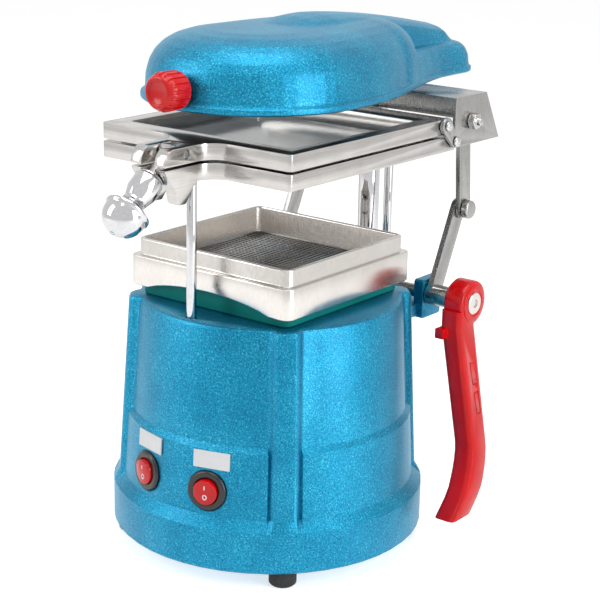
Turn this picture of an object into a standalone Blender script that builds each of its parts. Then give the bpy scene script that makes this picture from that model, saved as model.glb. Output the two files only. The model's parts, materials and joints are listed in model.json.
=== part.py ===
# Bench-top vacuum forming machine: a round cast base with a vacuum tray, a sheet frame that
# a hand lever lowers over it on two slim rods and a rear post, and a heater head on that post.
# Metres, +Z up. The front, with the switches and the clamp knob, faces -Y, the lever is at +X.

import math

import bmesh
import bpy
from mathutils import Matrix, Vector

MM = 0.001

# Clearances
GAP = 0.3 * MM                   # between solids that touch
PIN_CLEARANCE = 0.3 * MM         # round a pin, rod or shaft in its bore
LINK_CLEARANCE = 0.6 * MM        # between links that pass each other

# Base housing
FOOT_HEIGHT = 10.5 * MM
FOOT_RADIUS = 8.2 * MM
FOOT_CIRCLE_RADIUS = 84.5 * MM
FOOT_EDGE = 1.5 * MM
SKIRT_RADIUS = 95.5 * MM
SKIRT_TOP = 36.0 * MM
SKIRT_EDGE = 1.2 * MM
BODY_BOTTOM = 41.6 * MM
DECK_HEIGHT = 153.0 * MM
BODY_RADIUS_LOW = 86.4 * MM
BODY_RADIUS_HIGH = 79.8 * MM
BODY_EDGE_ROUND = 3.0 * MM
RIB_RISE = 5.6 * MM
RIB_FLAT_HALF = 4.4 * MM
RIB_FOOT_HALF = 10.2 * MM
BELT_RISE = 3.0 * MM
BELT_TOP = 84.0 * MM
BELT_START = 7.4 * MM
BELT_CHAMFER = 1.8 * MM

# Sheet frame, which the tray, the bearings and the links are set out from
FRAME_HALF_X = 69.6 * MM
FRAME_BAR_WIDTH = 10.1 * MM
FRAME_OPENING_HALF = FRAME_HALF_X - FRAME_BAR_WIDTH
FRONT_BAR_WIDTH = 13.5 * MM
REAR_BAR_WIDTH = 21.5 * MM
LOWER_REAR_EXTRA = 9.0 * MM
FRAME_FRONT_Y = -FRAME_OPENING_HALF - FRONT_BAR_WIDTH
UPPER_PLATE_REAR_Y = FRAME_OPENING_HALF + REAR_BAR_WIDTH
LOWER_PLATE_REAR_Y = UPPER_PLATE_REAR_Y + LOWER_REAR_EXTRA
PLATE_THICKNESS = 9.3 * MM
SHEET_THICKNESS = 1.0 * MM
SHEET_OVERLAP = 4.0 * MM
SHEET_HALF = FRAME_OPENING_HALF + SHEET_OVERLAP
PLATE_CORNER_RADIUS = 2.5 * MM

# Gasket and tray
TRAY_PLAY = 2.3 * MM             # between the tray rim and the opening that comes down round it
TRAY_RIM_HALF = FRAME_OPENING_HALF - TRAY_PLAY
TRAY_STEP = 3.2 * MM
TRAY_FLANGE_HALF = TRAY_RIM_HALF + TRAY_STEP
TRAY_SKIRT_WALL = 5.0 * MM
GASKET_HALF = TRAY_FLANGE_HALF - TRAY_SKIRT_WALL
GASKET_THICKNESS = 11.5 * MM
TRAY_STAND = 6.0 * MM            # how high the tray's skirt stands over the deck
TRAY_FLANGE_HEIGHT = 18.5 * MM
TRAY_RIM_HEIGHT = 9.9 * MM
TRAY_FLANGE_BOTTOM = DECK_HEIGHT + TRAY_STAND
TRAY_FLANGE_TOP = TRAY_FLANGE_BOTTOM + TRAY_FLANGE_HEIGHT
TRAY_RIM_TOP = TRAY_FLANGE_TOP + TRAY_RIM_HEIGHT
TRAY_WALL = 2.8 * MM
TRAY_CAVITY_DEPTH = 18.1 * MM
TRAY_CORNER_RADIUS = 5.5 * MM
TRAY_ARCH_HALF = 46.0 * MM
TRAY_ARCH_RISE = 6.0 * MM
TRAY_FLOOR = 2.6 * MM
TRAY_PORT_RADIUS = 5.0 * MM
MESH_THICKNESS = 1.5 * MM

# Heights of the frame over the tray
FRAME_LIFT = 49.2 * MM
FRAME_TRAVEL = 53.0 * MM
LOWER_PLATE_BOTTOM = TRAY_RIM_TOP + FRAME_LIFT
LOWER_PLATE_TOP = LOWER_PLATE_BOTTOM + PLATE_THICKNESS
UPPER_PLATE_BOTTOM = LOWER_PLATE_TOP + SHEET_THICKNESS + 2 * GAP
UPPER_PLATE_TOP = UPPER_PLATE_BOTTOM + PLATE_THICKNESS

# Front tab, fork and wedge ears
TAB_CENTRE_X = 2.5 * MM
TAB_HALF_WIDTH = 12.4 * MM
TAB_LENGTH = 15.0 * MM
TAB_FRONT_Y = FRAME_FRONT_Y - TAB_LENGTH
TAB_FILLET_RADIUS = 12.0 * MM
FORK_SLOT_HALF = 4.8 * MM
FORK_REACH = 23.8 * MM
FORK_NOSE_Y = TAB_FRONT_Y - FORK_REACH
FORK_NOSE_ROUND = 7.0 * MM
CLAMP_PIVOT_Y = TAB_FRONT_Y - 6.0 * MM
CLAMP_PIVOT_DROP = 4.3 * MM      # below the top of the upper plate
CLAMP_PIVOT_Z = UPPER_PLATE_TOP - CLAMP_PIVOT_DROP
CLAMP_PIN_RADIUS = 2.4 * MM
CLAMP_PIN_RECESS = 1.0 * MM
EAR_DEPTH = 11.3 * MM            # of the wedge ears under the lower plate
EAR_TIP_Z = LOWER_PLATE_BOTTOM - EAR_DEPTH
EAR_TIP_Y = TAB_FRONT_Y - 9.5 * MM
EAR_TIP_HALF = 2.6 * MM
EAR_CHAMFER = 1.4 * MM
EAR_REAR_SLOPE = 4.5 * MM

# Swing bolt and its knob
BOLT_EYE_RADIUS = 4.7 * MM
BOLT_SHANK_RADIUS = 3.6 * MM
BOLT_LENGTH = 43.0 * MM
BOLT_HANG_ANGLE = math.radians(39.5)
EAR_FACE_REACH = 18.9 * MM       # from the pivot to the face that the knob tightens on
KNOB_SHOULDER_REACH = EAR_FACE_REACH + GAP
KNOB_BALL_REACH = 46.5 * MM
KNOB_BALL_RADIUS = 12.4 * MM
KNOB_NECK_RADIUS = 8.6 * MM
KNOB_WAIST_RADIUS = 6.6 * MM
KNOB_COLLAR_RADIUS = 13.3 * MM
KNOB_COLLAR_SETBACK = 1.0 * MM   # of the collar behind the ball's middle
KNOB_COLLAR_EDGE = 0.8 * MM
KNOB_COLLAR_WIDTH = 3.2 * MM
KNOB_WAIST_SETBACK = 9.5 * MM
KNOB_NECK_SETBACK = 16.5 * MM
KNOB_NECK_EDGE = 1.2 * MM

# Rods and post
GUIDE_ROD_RADIUS = 3.0 * MM
GUIDE_ROD_FRONT_Y = FRAME_FRONT_Y
GUIDE_ROD_ENGAGED = 15.0 * MM
ROD_BORE_SPARE = 5.0 * MM
POST_RADIUS = 6.75 * MM
POST_Y = UPPER_PLATE_REAR_Y + 18.0 * MM
GUIDE_ROD_REAR_Y = POST_Y + 22.0 * MM
POST_DEPTH = 61.0 * MM           # of the post's foot under the cross bar's top
POST_IN_HEAD = 14.0 * MM
BUSH_RADIUS = 10.5 * MM
BUSH_HEIGHT = 16.0 * MM
BUSH_EDGE = 1.0 * MM
BUSH_PLAY = 1.0 * MM
TONGUE_WALL = 2.0 * MM

# Crank shaft and the rear casting that carries it
CRANK_SETBACK = 6.5 * MM         # of the crank shaft before the lower plate's rear edge
CRANK_Y = LOWER_PLATE_REAR_Y - CRANK_SETBACK
CRANK_DROP = 8.0 * MM            # and under the deck
CRANK_Z = DECK_HEIGHT - CRANK_DROP
SHAFT_RADIUS = 4.0 * MM
LUG_OUTER_X = FRAME_OPENING_HALF
LUG_WIDTH = 6.4 * MM
LUG_FRONT = 7.5 * MM             # of the lug before and behind, over and under the crank shaft
LUG_REAR = 13.0 * MM
LUG_OVER = 9.6 * MM
LUG_UNDER = 15.0 * MM
LUG_CHAMFER = 1.2 * MM
CROSS_BAR_OVER = -6.0 * MM
CROSS_BAR_UNDER = 13.5 * MM
CROSS_BAR_REAR = 8.5 * MM
CROSS_BAR_TOP = CRANK_Z + CROSS_BAR_OVER
CASTING_ROOT = 40.0 * MM         # how far the casting's pieces run into the round housing
BOSS_DROP = 79.0 * MM
BOSS_HALF_WIDTH = 13.0 * MM
BOSS_TAIL_HALF_WIDTH = 7.0 * MM

# Cranks, links and lever
CRANK_LENGTH = 56.6 * MM
CRANK_REST_ANGLE = math.radians(25.1)
CRANK_THICKNESS = 3.4 * MM
LINK_WIDTH = 12.0 * MM
LINK_THICKNESS = 3.0 * MM
LINK_LENGTH = 57.0 * MM
LINK_LEAN = 5.0 * MM             # how far the link's top stands in front of its lower pin
LINK_PIN_RADIUS = 2.8 * MM
PIVOT_HEAD_RADIUS = 5.8 * MM
PIVOT_HEAD_THICKNESS = 4.2 * MM
PIVOT_HEAD_EDGE = 0.8 * MM
SLEEVE_RADIUS = 6.6 * MM
CRANK_INNER_X = LUG_OUTER_X + 2 * LINK_CLEARANCE
CRANK_OUTER_X = CRANK_INNER_X + CRANK_THICKNESS
LINK_INNER_X = CRANK_OUTER_X + LINK_CLEARANCE
LINK_OUTER_X = LINK_INNER_X + LINK_THICKNESS
CRANK_PIN_Y = CRANK_Y + CRANK_LENGTH * math.sin(CRANK_REST_ANGLE)
CRANK_PIN_Z = CRANK_Z + CRANK_LENGTH * math.cos(CRANK_REST_ANGLE)
STUD_Y = CRANK_PIN_Y - LINK_LEAN
STUD_Z = CRANK_PIN_Z + math.sqrt(LINK_LENGTH ** 2 - LINK_LEAN ** 2)
LEVER_HUB_RADIUS = 14.0 * MM
LEVER_HUB_ROUND = 2.0 * MM
SLEEVE_LENGTH = 17.6 * MM
LEVER_INNER_X = CRANK_INNER_X + SLEEVE_LENGTH
LEVER_THICKNESS = 14.1 * MM
LEVER_OUTER_X = LEVER_INNER_X + LEVER_THICKNESS
LEVER_SEAT_DEPTH = 9.0 * MM
LEVER_FRONT_Y = CRANK_Y - 15.7 * MM
LEVER_REAR_Y = CRANK_Y + 3.4 * MM
LEVER_FRONT_TAPER = 3.6 * MM
LEVER_REAR_TAPER = 5.0 * MM
LEVER_BEND_Z = 61.0 * MM
LEVER_TIP_Z = 21.0 * MM
LEVER_HOOK_FRONT = 28.0 * MM     # how far the tip's front and rear edges hook forward
LEVER_HOOK_REAR = 24.5 * MM
LEVER_LEAN = 22.0 * MM           # how far the arm leans out to clear the skirt
LEVER_LEAN_END_Z = 34.0 * MM
LEVER_CORNER = 3.2 * MM
LEVER_STOP_WIDTH = 6.0 * MM
LEVER_STOP_LENGTH = 5.5 * MM
LEVER_CAP_RADIUS = 6.8 * MM
LEVER_CAP_THICKNESS = 1.2 * MM

# Rear bracket of the frame
BRACKET_THICKNESS = 2.2 * MM
BRACKET_INNER_X = FRAME_HALF_X + GAP
BRACKET_OUTER_X = BRACKET_INNER_X + BRACKET_THICKNESS
BRACKET_TOP = UPPER_PLATE_TOP + 12.0 * MM
BRACKET_FRONT_Y = UPPER_PLATE_REAR_Y + 3.5 * MM
BRACKET_TOP_REAR_Y = BRACKET_FRONT_Y + 34.4 * MM
BRACKET_LOW_REAR_Y = BRACKET_TOP_REAR_Y + 16.9 * MM
BRACKET_BOTTOM = LOWER_PLATE_BOTTOM + 2.0 * MM
BRACKET_LIP = 12.0 * MM
HINGE_SCREW_Y = UPPER_PLATE_REAR_Y - 4.6 * MM
HINGE_SCREW_Z = UPPER_PLATE_BOTTOM + 5.4 * MM
LOBE_RADIUS = 5.2 * MM
LOBE_SHOULDER_DROP = 3.4 * MM    # of the lobe's root under the hinge screw
FIXING_SCREW_Y = LOWER_PLATE_REAR_Y - 3.8 * MM
FIXING_SCREW_Z = LOWER_PLATE_BOTTOM + 5.6 * MM
SCREW_RADIUS = 2.0 * MM
SCREW_HEAD_RADIUS = 3.1 * MM
SCREW_HEAD_HEIGHT = 1.8 * MM
SCREW_HEAD_EDGE = 0.8 * MM
SCREW_DEPTH = 6.0 * MM
STUD_RADIUS = 2.5 * MM
NUT_RADIUS = 5.2 * MM
NUT_THICKNESS = 4.4 * MM
STUD_PROUD = 2.6 * MM

# Heater head, measured from its rim
HEAD_LIFT = 17.2 * MM            # of the rim over the sheet frame
HEAD_RIM_Z = UPPER_PLATE_TOP + HEAD_LIFT
HEAD_CENTRE_X = 2.0 * MM         # the head stands this far towards the lever
HEAD_HALF_WIDTH = 64.8 * MM
HEAD_FRONT_REACH = 67.5 * MM
HEAD_CENTRE_Y = -18.0 * MM
HEAD_WAIST_LENGTH = 150.0 * MM
HEAD_WAIST_POWER = 1.25
HEAD_DOME_HEIGHT = 39.5 * MM
HEAD_NECK_Y = 84.0 * MM
LOBE_LENGTH = 79.0 * MM
LOBE_END_Y = HEAD_NECK_Y + LOBE_LENGTH
LOBE_HALF_WIDTH = 35.0 * MM
LOBE_CORNER = 14.0 * MM
LOBE_HEIGHT = 19.0 * MM
LOBE_INSET = 0.12                # how far the lobe draws in under the dome, as a share
DOME_INSET = 0.985               # share of the rim that the dome's foot keeps
DOME_TAIL = 46.0 * MM            # how far the dome's round rear end runs past its crest
DOME_CREST_END_Y = HEAD_NECK_Y - 24.0 * MM
DOME_TOP_INSET = 0.93
SPINE_FRONT_Y = -34.0 * MM
SPINE_CREST_Y = 30.0 * MM
SPINE_REAR_Y = LOBE_END_Y - 4.0 * MM
SPINE_HALF_WIDTH = 24.0 * MM
SPINE_HEIGHT = 44.0 * MM
SPINE_FRONT_FALL = 16.0 * MM
SPINE_REAR_FALL = 17.0 * MM
SPINE_END_DROP = 9.0 * MM
SPINE_SHOULDER = 9.0 * MM
HEAD_BEAD = 1.0 * MM
HEAD_BEAD_HEIGHT = 3.6 * MM
HEAD_BEAD_EDGE = 0.7 * MM
HEATER_RECESS_RADIUS = 58.0 * MM
HEATER_RECESS_DEPTH = 12.0 * MM
HEATER_THICKNESS = 7.0 * MM
HEAD_KNOB_RISE = 11.5 * MM       # of the head knob over the rim
HEAD_KNOB_Z = HEAD_RIM_Z + HEAD_KNOB_RISE
HEAD_KNOB_RADIUS = 11.0 * MM
HEAD_KNOB_LENGTH = 17.0 * MM
HEAD_KNOB_STUD_RADIUS = 4.0 * MM
HEAD_KNOB_STUD_LENGTH = 7.0 * MM
HEAD_KNOB_FLUTES = 12
HEAD_KNOB_FLUTE_DEPTH = 0.9 * MM
HEAD_KNOB_EDGE = 1.3 * MM
HEAD_KNOB_TAPER = 0.6 * MM
HEAD_KNOB_ROUND = 3.6 * MM
HEAD_FRONT_Y = HEAD_CENTRE_Y - HEAD_FRONT_REACH

# Switches and cable gland
SWITCH_HALF_ANGLE = math.radians(15.2)
SWITCH_HEIGHT = 56.3 * MM
BEZEL_RADIUS = 12.2 * MM
BEZEL_FLANGE = 2.2 * MM
BEZEL_EDGE = 1.1 * MM
BEZEL_BODY_RADIUS = 9.9 * MM
BEZEL_BODY_DEPTH = 13.0 * MM
BEZEL_SEAT_SINK = 1.0 * MM
ROCKER_RADIUS = 7.5 * MM
ROCKER_PLAY = 0.5 * MM
ROCKER_POCKET_DEPTH = 7.5 * MM
ROCKER_THICKNESS = 5.0 * MM
ROCKER_PROUD = 1.6 * MM
ROCKER_SINK = 0.4 * MM
ROCKER_TILT = math.radians(7.0)
GLAND_ANGLE = math.radians(-152.0)
GLAND_HEIGHT = 58.0 * MM
GLAND_RADIUS = 8.0 * MM
GLAND_NOSE_RADIUS = 6.0 * MM
GLAND_NOSE_LENGTH = 12.0 * MM
GLAND_FLANGE = 3.0 * MM
GLAND_BORE_RADIUS = 4.0 * MM
GLAND_SEAT_SINK = 1.0 * MM
GLAND_EDGE = 0.7 * MM
GLAND_SINK = 8.0 * MM

# Sizes that follow from those above
TRAY_CAVITY_FLOOR = TRAY_RIM_TOP - TRAY_CAVITY_DEPTH
GUIDE_ROD_BOTTOM = DECK_HEIGHT - GUIDE_ROD_ENGAGED
REAR_ROD_BOTTOM = CROSS_BAR_TOP - GUIDE_ROD_ENGAGED
POST_FOOT_Z = CROSS_BAR_TOP - POST_DEPTH

# How far the machine reaches from the axis of its base, which sets where that axis stands
REACH_LEFT = SKIRT_RADIUS
REACH_RIGHT = LEVER_OUTER_X + LEVER_LEAN
REACH_FRONT = -CLAMP_PIVOT_Y + KNOB_BALL_REACH * math.cos(BOLT_HANG_ANGLE) + KNOB_BALL_RADIUS
REACH_REAR = LOBE_END_Y + HEAD_BEAD
BASE_AXIS = Vector(((REACH_LEFT - REACH_RIGHT) / 2, (REACH_FRONT - REACH_REAR) / 2, 0.0))

ROUND_STEPS = 32
SMALL_STEPS = 20

BLUE = ("blue_hammertone", (0.012, 0.215, 0.40), 0.38, 0.55)
RED = ("red_plastic", (0.78, 0.010, 0.012), 0.25, 0.0)
STEEL = ("brushed_steel", (0.56, 0.54, 0.52), 0.32, 1.0)
DARK_STEEL = ("dark_steel", (0.10, 0.10, 0.105), 0.38, 0.9)
CHROME = ("chrome", (0.82, 0.82, 0.84), 0.07, 1.0)
CAST = ("cast_aluminium", (0.60, 0.57, 0.55), 0.42, 1.0)
TEAL = ("teal_rubber", (0.0, 0.22, 0.19), 0.55, 0.0)
BLACK = ("black_plastic", (0.012, 0.012, 0.013), 0.35, 0.0)
RUBBER = ("black_rubber", (0.015, 0.015, 0.015), 0.75, 0.0)
WHITE = ("white_sheet", (0.86, 0.87, 0.88), 0.35, 0.0)
HEATER = ("heater_iron", (0.11, 0.105, 0.10), 0.7, 0.6)


# Scene, materials and bodies

for old in list(bpy.data.objects):
    bpy.data.objects.remove(old, do_unlink=True)

model = bpy.data.collections.new("vacuum_forming_machine")
cutters = bpy.data.collections.new("cutters")
bpy.context.scene.collection.children.link(model)
bpy.context.scene.collection.children.link(cutters)


def material(spec):
    name, colour, roughness, metallic = spec
    made = bpy.data.materials.get(name)
    if made is None:
        made = bpy.data.materials.new(name)
        made.use_nodes = True
        shader = made.node_tree.nodes["Principled BSDF"]
        shader.inputs["Base Color"].default_value = (*colour, 1.0)
        shader.inputs["Roughness"].default_value = roughness
        shader.inputs["Metallic"].default_value = metallic
        made.diffuse_color = (*colour, 1.0)
    return made


def pivot(name, parent, point):
    # An empty on a joint's axis, at a point measured from the axis of the base
    empty = bpy.data.objects.new(name, None)
    model.objects.link(empty)
    empty.parent = parent
    empty.location = point - Vector(parent["point"]) if parent else point
    empty["point"] = point
    return empty


machine = pivot("machine", None, BASE_AXIS)
machine["point"] = Vector((0.0, 0.0, 0.0))
lever_axis = pivot("lever_axis", machine, Vector((0.0, CRANK_Y, CRANK_Z)))
link_axis_right = pivot("link_axis_right", lever_axis, Vector((LINK_INNER_X, CRANK_PIN_Y, CRANK_PIN_Z)))
link_axis_left = pivot("link_axis_left", lever_axis, Vector((-LINK_INNER_X, CRANK_PIN_Y, CRANK_PIN_Z)))
frame_slide = pivot("frame_slide", machine, Vector((0.0, 0.0, LOWER_PLATE_BOTTOM)))
clamp_axis = pivot("clamp_axis", frame_slide, Vector((TAB_CENTRE_X, CLAMP_PIVOT_Y, CLAMP_PIVOT_Z)))
head_axis = pivot("head_axis", machine, Vector((0.0, POST_Y, HEAD_RIM_Z)))


def place(obj, parent, matrix=None):
    # Meshes are in the machine's own frame, or in that of the matrix, and ride on their parent
    obj.parent = parent
    shift = Matrix.Translation(-Vector(parent["point"]))
    obj.matrix_basis = shift @ (matrix or Matrix.Identity(4))


def add_object(name, mesh, spec, parent, matrix=None):
    obj = bpy.data.objects.new(name, mesh)
    if spec is None:
        cutters.objects.link(obj)
        obj.hide_render = True
        obj.display_type = "WIRE"
    else:
        model.objects.link(obj)
        mesh.materials.append(material(spec))
    place(obj, parent, matrix)
    return obj


def smooth(obj, degrees=35.0):
    obj.data.shade_smooth()
    obj.data.set_sharp_from_angle(angle=math.radians(degrees))
    return obj


def mesh_from(bm, name):
    mesh = bpy.data.meshes.new(name)
    bm.to_mesh(mesh)
    bm.free()
    return mesh


def along(start, end):
    # A matrix that puts local Z along a line, with its origin halfway
    direction = end - start
    turn = direction.to_track_quat("Z", "Y").to_matrix().to_4x4()
    return Matrix.Translation((start + end) / 2) @ turn


def box(name, low, high, spec, parent):
    bm = bmesh.new()
    bmesh.ops.create_cube(bm, size=1.0)
    size = Vector(high) - Vector(low)
    middle = (Vector(high) + Vector(low)) / 2
    bmesh.ops.scale(bm, vec=size, verts=bm.verts)
    bmesh.ops.translate(bm, vec=middle, verts=bm.verts)
    return add_object(name, mesh_from(bm, name), spec, parent)


def rod(name, start, end, radius, spec, parent, steps=ROUND_STEPS):
    start = Vector(start)
    end = Vector(end)
    bm = bmesh.new()
    bmesh.ops.create_cone(bm, cap_ends=True, segments=steps, radius1=radius, radius2=radius,
                          depth=(end - start).length)
    obj = add_object(name, mesh_from(bm, name), spec, parent, along(start, end))
    return smooth(obj)


def turned(name, profile, origin, direction, spec, parent, steps=ROUND_STEPS):
    # The profile is (radius, height) pairs from the top of the axis down its outer side
    mesh = bpy.data.meshes.new(name)
    points = [(radius, 0.0, height) for radius, height in profile]
    edges = [(i, i + 1) for i in range(len(points) - 1)]
    if points[0] == points[-1]:
        points.pop()
        edges[-1] = (len(points) - 1, 0)
    mesh.from_pydata(points, edges, [])
    turn = Vector(direction).to_track_quat("Z", "Y").to_matrix().to_4x4()
    obj = add_object(name, mesh, spec, parent, Matrix.Translation(Vector(origin)) @ turn)
    screw = obj.modifiers.new("turn", "SCREW")
    screw.steps = steps
    screw.render_steps = steps
    screw.use_merge_vertices = True
    screw.merge_threshold = 0.00001
    screw.use_smooth_shade = True
    return obj


def arc(centre, radius, start, end, steps):
    # Points on an arc in the plane, angles in degrees
    points = []
    for step in range(steps + 1):
        angle = math.radians(start + (end - start) * step / steps)
        points.append((centre[0] + radius * math.cos(angle), centre[1] + radius * math.sin(angle)))
    return points


def rounded_square(half_x, half_y, radius, steps=4):
    points = []
    corners = ((1, 1, 0), (-1, 1, 90), (-1, -1, 180), (1, -1, 270))
    for sign_x, sign_y, angle in corners:
        centre = (sign_x * (half_x - radius), sign_y * (half_y - radius))
        points += arc(centre, radius, angle, angle + 90, steps)
    return points


PLANES = {
    "XY": Matrix.Identity(4),
    "YZ": Matrix(((0, 0, 1, 0), (1, 0, 0, 0), (0, 1, 0, 0), (0, 0, 0, 1))),
    "XZ": Matrix(((1, 0, 0, 0), (0, 0, -1, 0), (0, 1, 0, 0), (0, 0, 0, 1))),
}


def extruded(name, outlines, plane, low, high, spec, parent):
    # The first outline is the outside and the rest are holes; low and high are along the normal
    curve = bpy.data.curves.new(name, "CURVE")
    curve.dimensions = "2D"
    curve.fill_mode = "BOTH"
    curve.extrude = (high - low) / 2
    for outline in outlines:
        spline = curve.splines.new("POLY")
        spline.points.add(len(outline) - 1)
        for point, (u, v) in zip(spline.points, outline):
            point.co = (u, v, 0.0, 1.0)
        spline.use_cyclic_u = True
    source = bpy.data.objects.new(name + "_outline", curve)
    cutters.objects.link(source)
    normal = PLANES[plane] @ Vector((0.0, 0.0, (low + high) / 2))
    if plane == "XZ":
        normal = -normal
    source.matrix_world = Matrix.Translation(normal) @ PLANES[plane]
    bpy.context.view_layer.update()
    depsgraph = bpy.context.evaluated_depsgraph_get()
    mesh = bpy.data.meshes.new_from_object(source.evaluated_get(depsgraph))
    bm = bmesh.new()
    bm.from_mesh(mesh)
    bmesh.ops.remove_doubles(bm, verts=bm.verts, dist=0.000002)
    bm.to_mesh(mesh)
    bm.free()
    mesh.name = name
    obj = add_object(name, mesh, spec, parent, source.matrix_world.copy())
    bpy.data.objects.remove(source, do_unlink=True)
    return obj


def loft(name, rings, spec, parent, matrix=None):
    # Rings of equal counts joined by quads, with the first and last ones capped
    bm = bmesh.new()
    made = [[bm.verts.new(point) for point in ring] for ring in rings]
    count = len(rings[0])
    for lower, upper in zip(made, made[1:]):
        for i in range(count):
            after = (i + 1) % count
            bm.faces.new((lower[i], lower[after], upper[after], upper[i]))
    bm.faces.new(list(reversed(made[0])))
    bm.faces.new(made[-1])
    bmesh.ops.recalc_face_normals(bm, faces=bm.faces)
    return smooth(add_object(name, mesh_from(bm, name), spec, parent, matrix))


def combine(target, tool, operation="DIFFERENCE"):
    modifier = target.modifiers.new(operation.lower(), "BOOLEAN")
    modifier.operation = operation
    modifier.solver = "EXACT"
    modifier.object = tool
    return target


# Base housing

def body_radius(height):
    share = (height - BODY_BOTTOM) / (DECK_HEIGHT - BODY_BOTTOM)
    return BODY_RADIUS_LOW + (BODY_RADIUS_HIGH - BODY_RADIUS_LOW) * share


def rib_rise(offset):
    # A flat top, then a smooth fall to the face beside it
    share = (offset - RIB_FLAT_HALF) / (RIB_FOOT_HALF - RIB_FLAT_HALF)
    share = min(max(share, 0.0), 1.0)
    return RIB_RISE * (0.5 + 0.5 * math.cos(math.pi * share))


def belt_rise(offset):
    share = (offset - BELT_START) / BELT_CHAMFER
    return BELT_RISE * min(max(share, 0.0), 1.0)


def housing_ring(height, inset=0.0, belt=0.0):
    radius = body_radius(height)
    half = [0.0] + [RIB_FLAT_HALF + (RIB_FOOT_HALF - RIB_FLAT_HALF) * i / 4 for i in range(3)]
    half += [BELT_START + BELT_CHAMFER / 2, BELT_START + BELT_CHAMFER, RIB_FOOT_HALF]
    reach = math.radians(45.0) * BODY_RADIUS_HIGH
    half += [half[-1] + (reach - half[-1]) * i / 5 for i in range(1, 5)]
    offsets = half + [reach] + [2 * reach - s for s in reversed(half[1:])]
    points = []
    for quarter in range(4):
        for offset in offsets:
            angle = math.radians(45.0 + 90.0 * quarter) + offset / BODY_RADIUS_HIGH
            near = min(offset, 2 * reach - offset)
            rise = max(rib_rise(near), belt * belt_rise(near)) - inset
            points.append(((radius + rise) * math.cos(angle), (radius + rise) * math.sin(angle), height))
    return points


def skirt_ring(height, radius):
    scaled = []
    for x, y, _ in housing_ring(BODY_BOTTOM):
        length = math.hypot(x, y)
        scaled.append((x * radius / length, y * radius / length, height))
    return scaled


housing = loft("base_housing", [
    skirt_ring(FOOT_HEIGHT, SKIRT_RADIUS - SKIRT_EDGE),
    skirt_ring(FOOT_HEIGHT + SKIRT_EDGE, SKIRT_RADIUS),
    skirt_ring(SKIRT_TOP, SKIRT_RADIUS),
    housing_ring(BODY_BOTTOM, belt=1.0),
    housing_ring(BELT_TOP - BELT_RISE, belt=1.0),
    housing_ring(BELT_TOP),
    housing_ring(DECK_HEIGHT - BODY_EDGE_ROUND),
    housing_ring(DECK_HEIGHT - 0.3 * BODY_EDGE_ROUND, inset=0.3 * BODY_EDGE_ROUND),
    housing_ring(DECK_HEIGHT, inset=BODY_EDGE_ROUND),
], BLUE, machine)

# Rear casting: cross bar, two square lugs for the crank shaft, and a boss for post and rear rod
bar_half = LUG_OUTER_X - LUG_WIDTH / 2
bar = box("rear_cross_bar", (-bar_half, CRANK_Y - CASTING_ROOT, CRANK_Z - CROSS_BAR_UNDER),
          (bar_half, CRANK_Y + CROSS_BAR_REAR, CROSS_BAR_TOP), None, machine)
combine(housing, bar, "UNION")

lug_front = CRANK_Y - LUG_FRONT
lug_rear = CRANK_Y + LUG_REAR
lug_top = CRANK_Z + LUG_OVER
lug_bottom = CRANK_Z - LUG_UNDER
lug_outline = [(lug_front + LUG_CHAMFER, lug_bottom), (lug_rear - LUG_CHAMFER, lug_bottom),
               (lug_rear, lug_bottom + LUG_CHAMFER), (lug_rear, lug_top - LUG_CHAMFER),
               (lug_rear - LUG_CHAMFER, lug_top), (lug_front + LUG_CHAMFER, lug_top),
               (lug_front, lug_top - LUG_CHAMFER), (lug_front, lug_bottom + LUG_CHAMFER)]
for side in (1, -1):
    inner = side * (LUG_OUTER_X - LUG_WIDTH)
    outer = side * LUG_OUTER_X
    lug = extruded("lug", [lug_outline], "YZ", min(inner, outer), max(inner, outer), None, machine)
    combine(housing, lug, "UNION")

boss_root_y = CRANK_Y - CASTING_ROOT
boss_outline = [(BOSS_HALF_WIDTH, boss_root_y), (BOSS_HALF_WIDTH, POST_Y)]
boss_outline += arc((0.0, GUIDE_ROD_REAR_Y), BOSS_TAIL_HALF_WIDTH, 15, 165, 8)
boss_outline += [(-BOSS_HALF_WIDTH, POST_Y), (-BOSS_HALF_WIDTH, boss_root_y)]
boss = extruded("post_boss", [boss_outline], "XY", CRANK_Z - BOSS_DROP, CROSS_BAR_TOP, None, machine)
combine(housing, boss, "UNION")

post_bore = rod("post_bore", (0, POST_Y, POST_FOOT_Z - GAP), (0, POST_Y, DECK_HEIGHT),
                POST_RADIUS + PIN_CLEARANCE, None, machine)
rear_rod_bore = rod("rear_rod_bore", (0, GUIDE_ROD_REAR_Y, 0.0), (0, GUIDE_ROD_REAR_Y, DECK_HEIGHT),
                    GUIDE_ROD_RADIUS + PIN_CLEARANCE, None, machine, SMALL_STEPS)
front_bore_floor = GUIDE_ROD_BOTTOM - FRAME_TRAVEL - ROD_BORE_SPARE
front_rod_bore = rod("front_rod_bore", (0, GUIDE_ROD_FRONT_Y, front_bore_floor),
                     (0, GUIDE_ROD_FRONT_Y, DECK_HEIGHT + GAP),
                     GUIDE_ROD_RADIUS + PIN_CLEARANCE, None, machine, SMALL_STEPS)
shaft_bore = rod("shaft_bore", (-LUG_OUTER_X - GAP, CRANK_Y, CRANK_Z), (LUG_OUTER_X + GAP, CRANK_Y, CRANK_Z),
                 SHAFT_RADIUS + PIN_CLEARANCE, None, machine, SMALL_STEPS)
for bore in (post_bore, rear_rod_bore, front_rod_bore, shaft_bore):
    combine(housing, bore)

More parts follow.
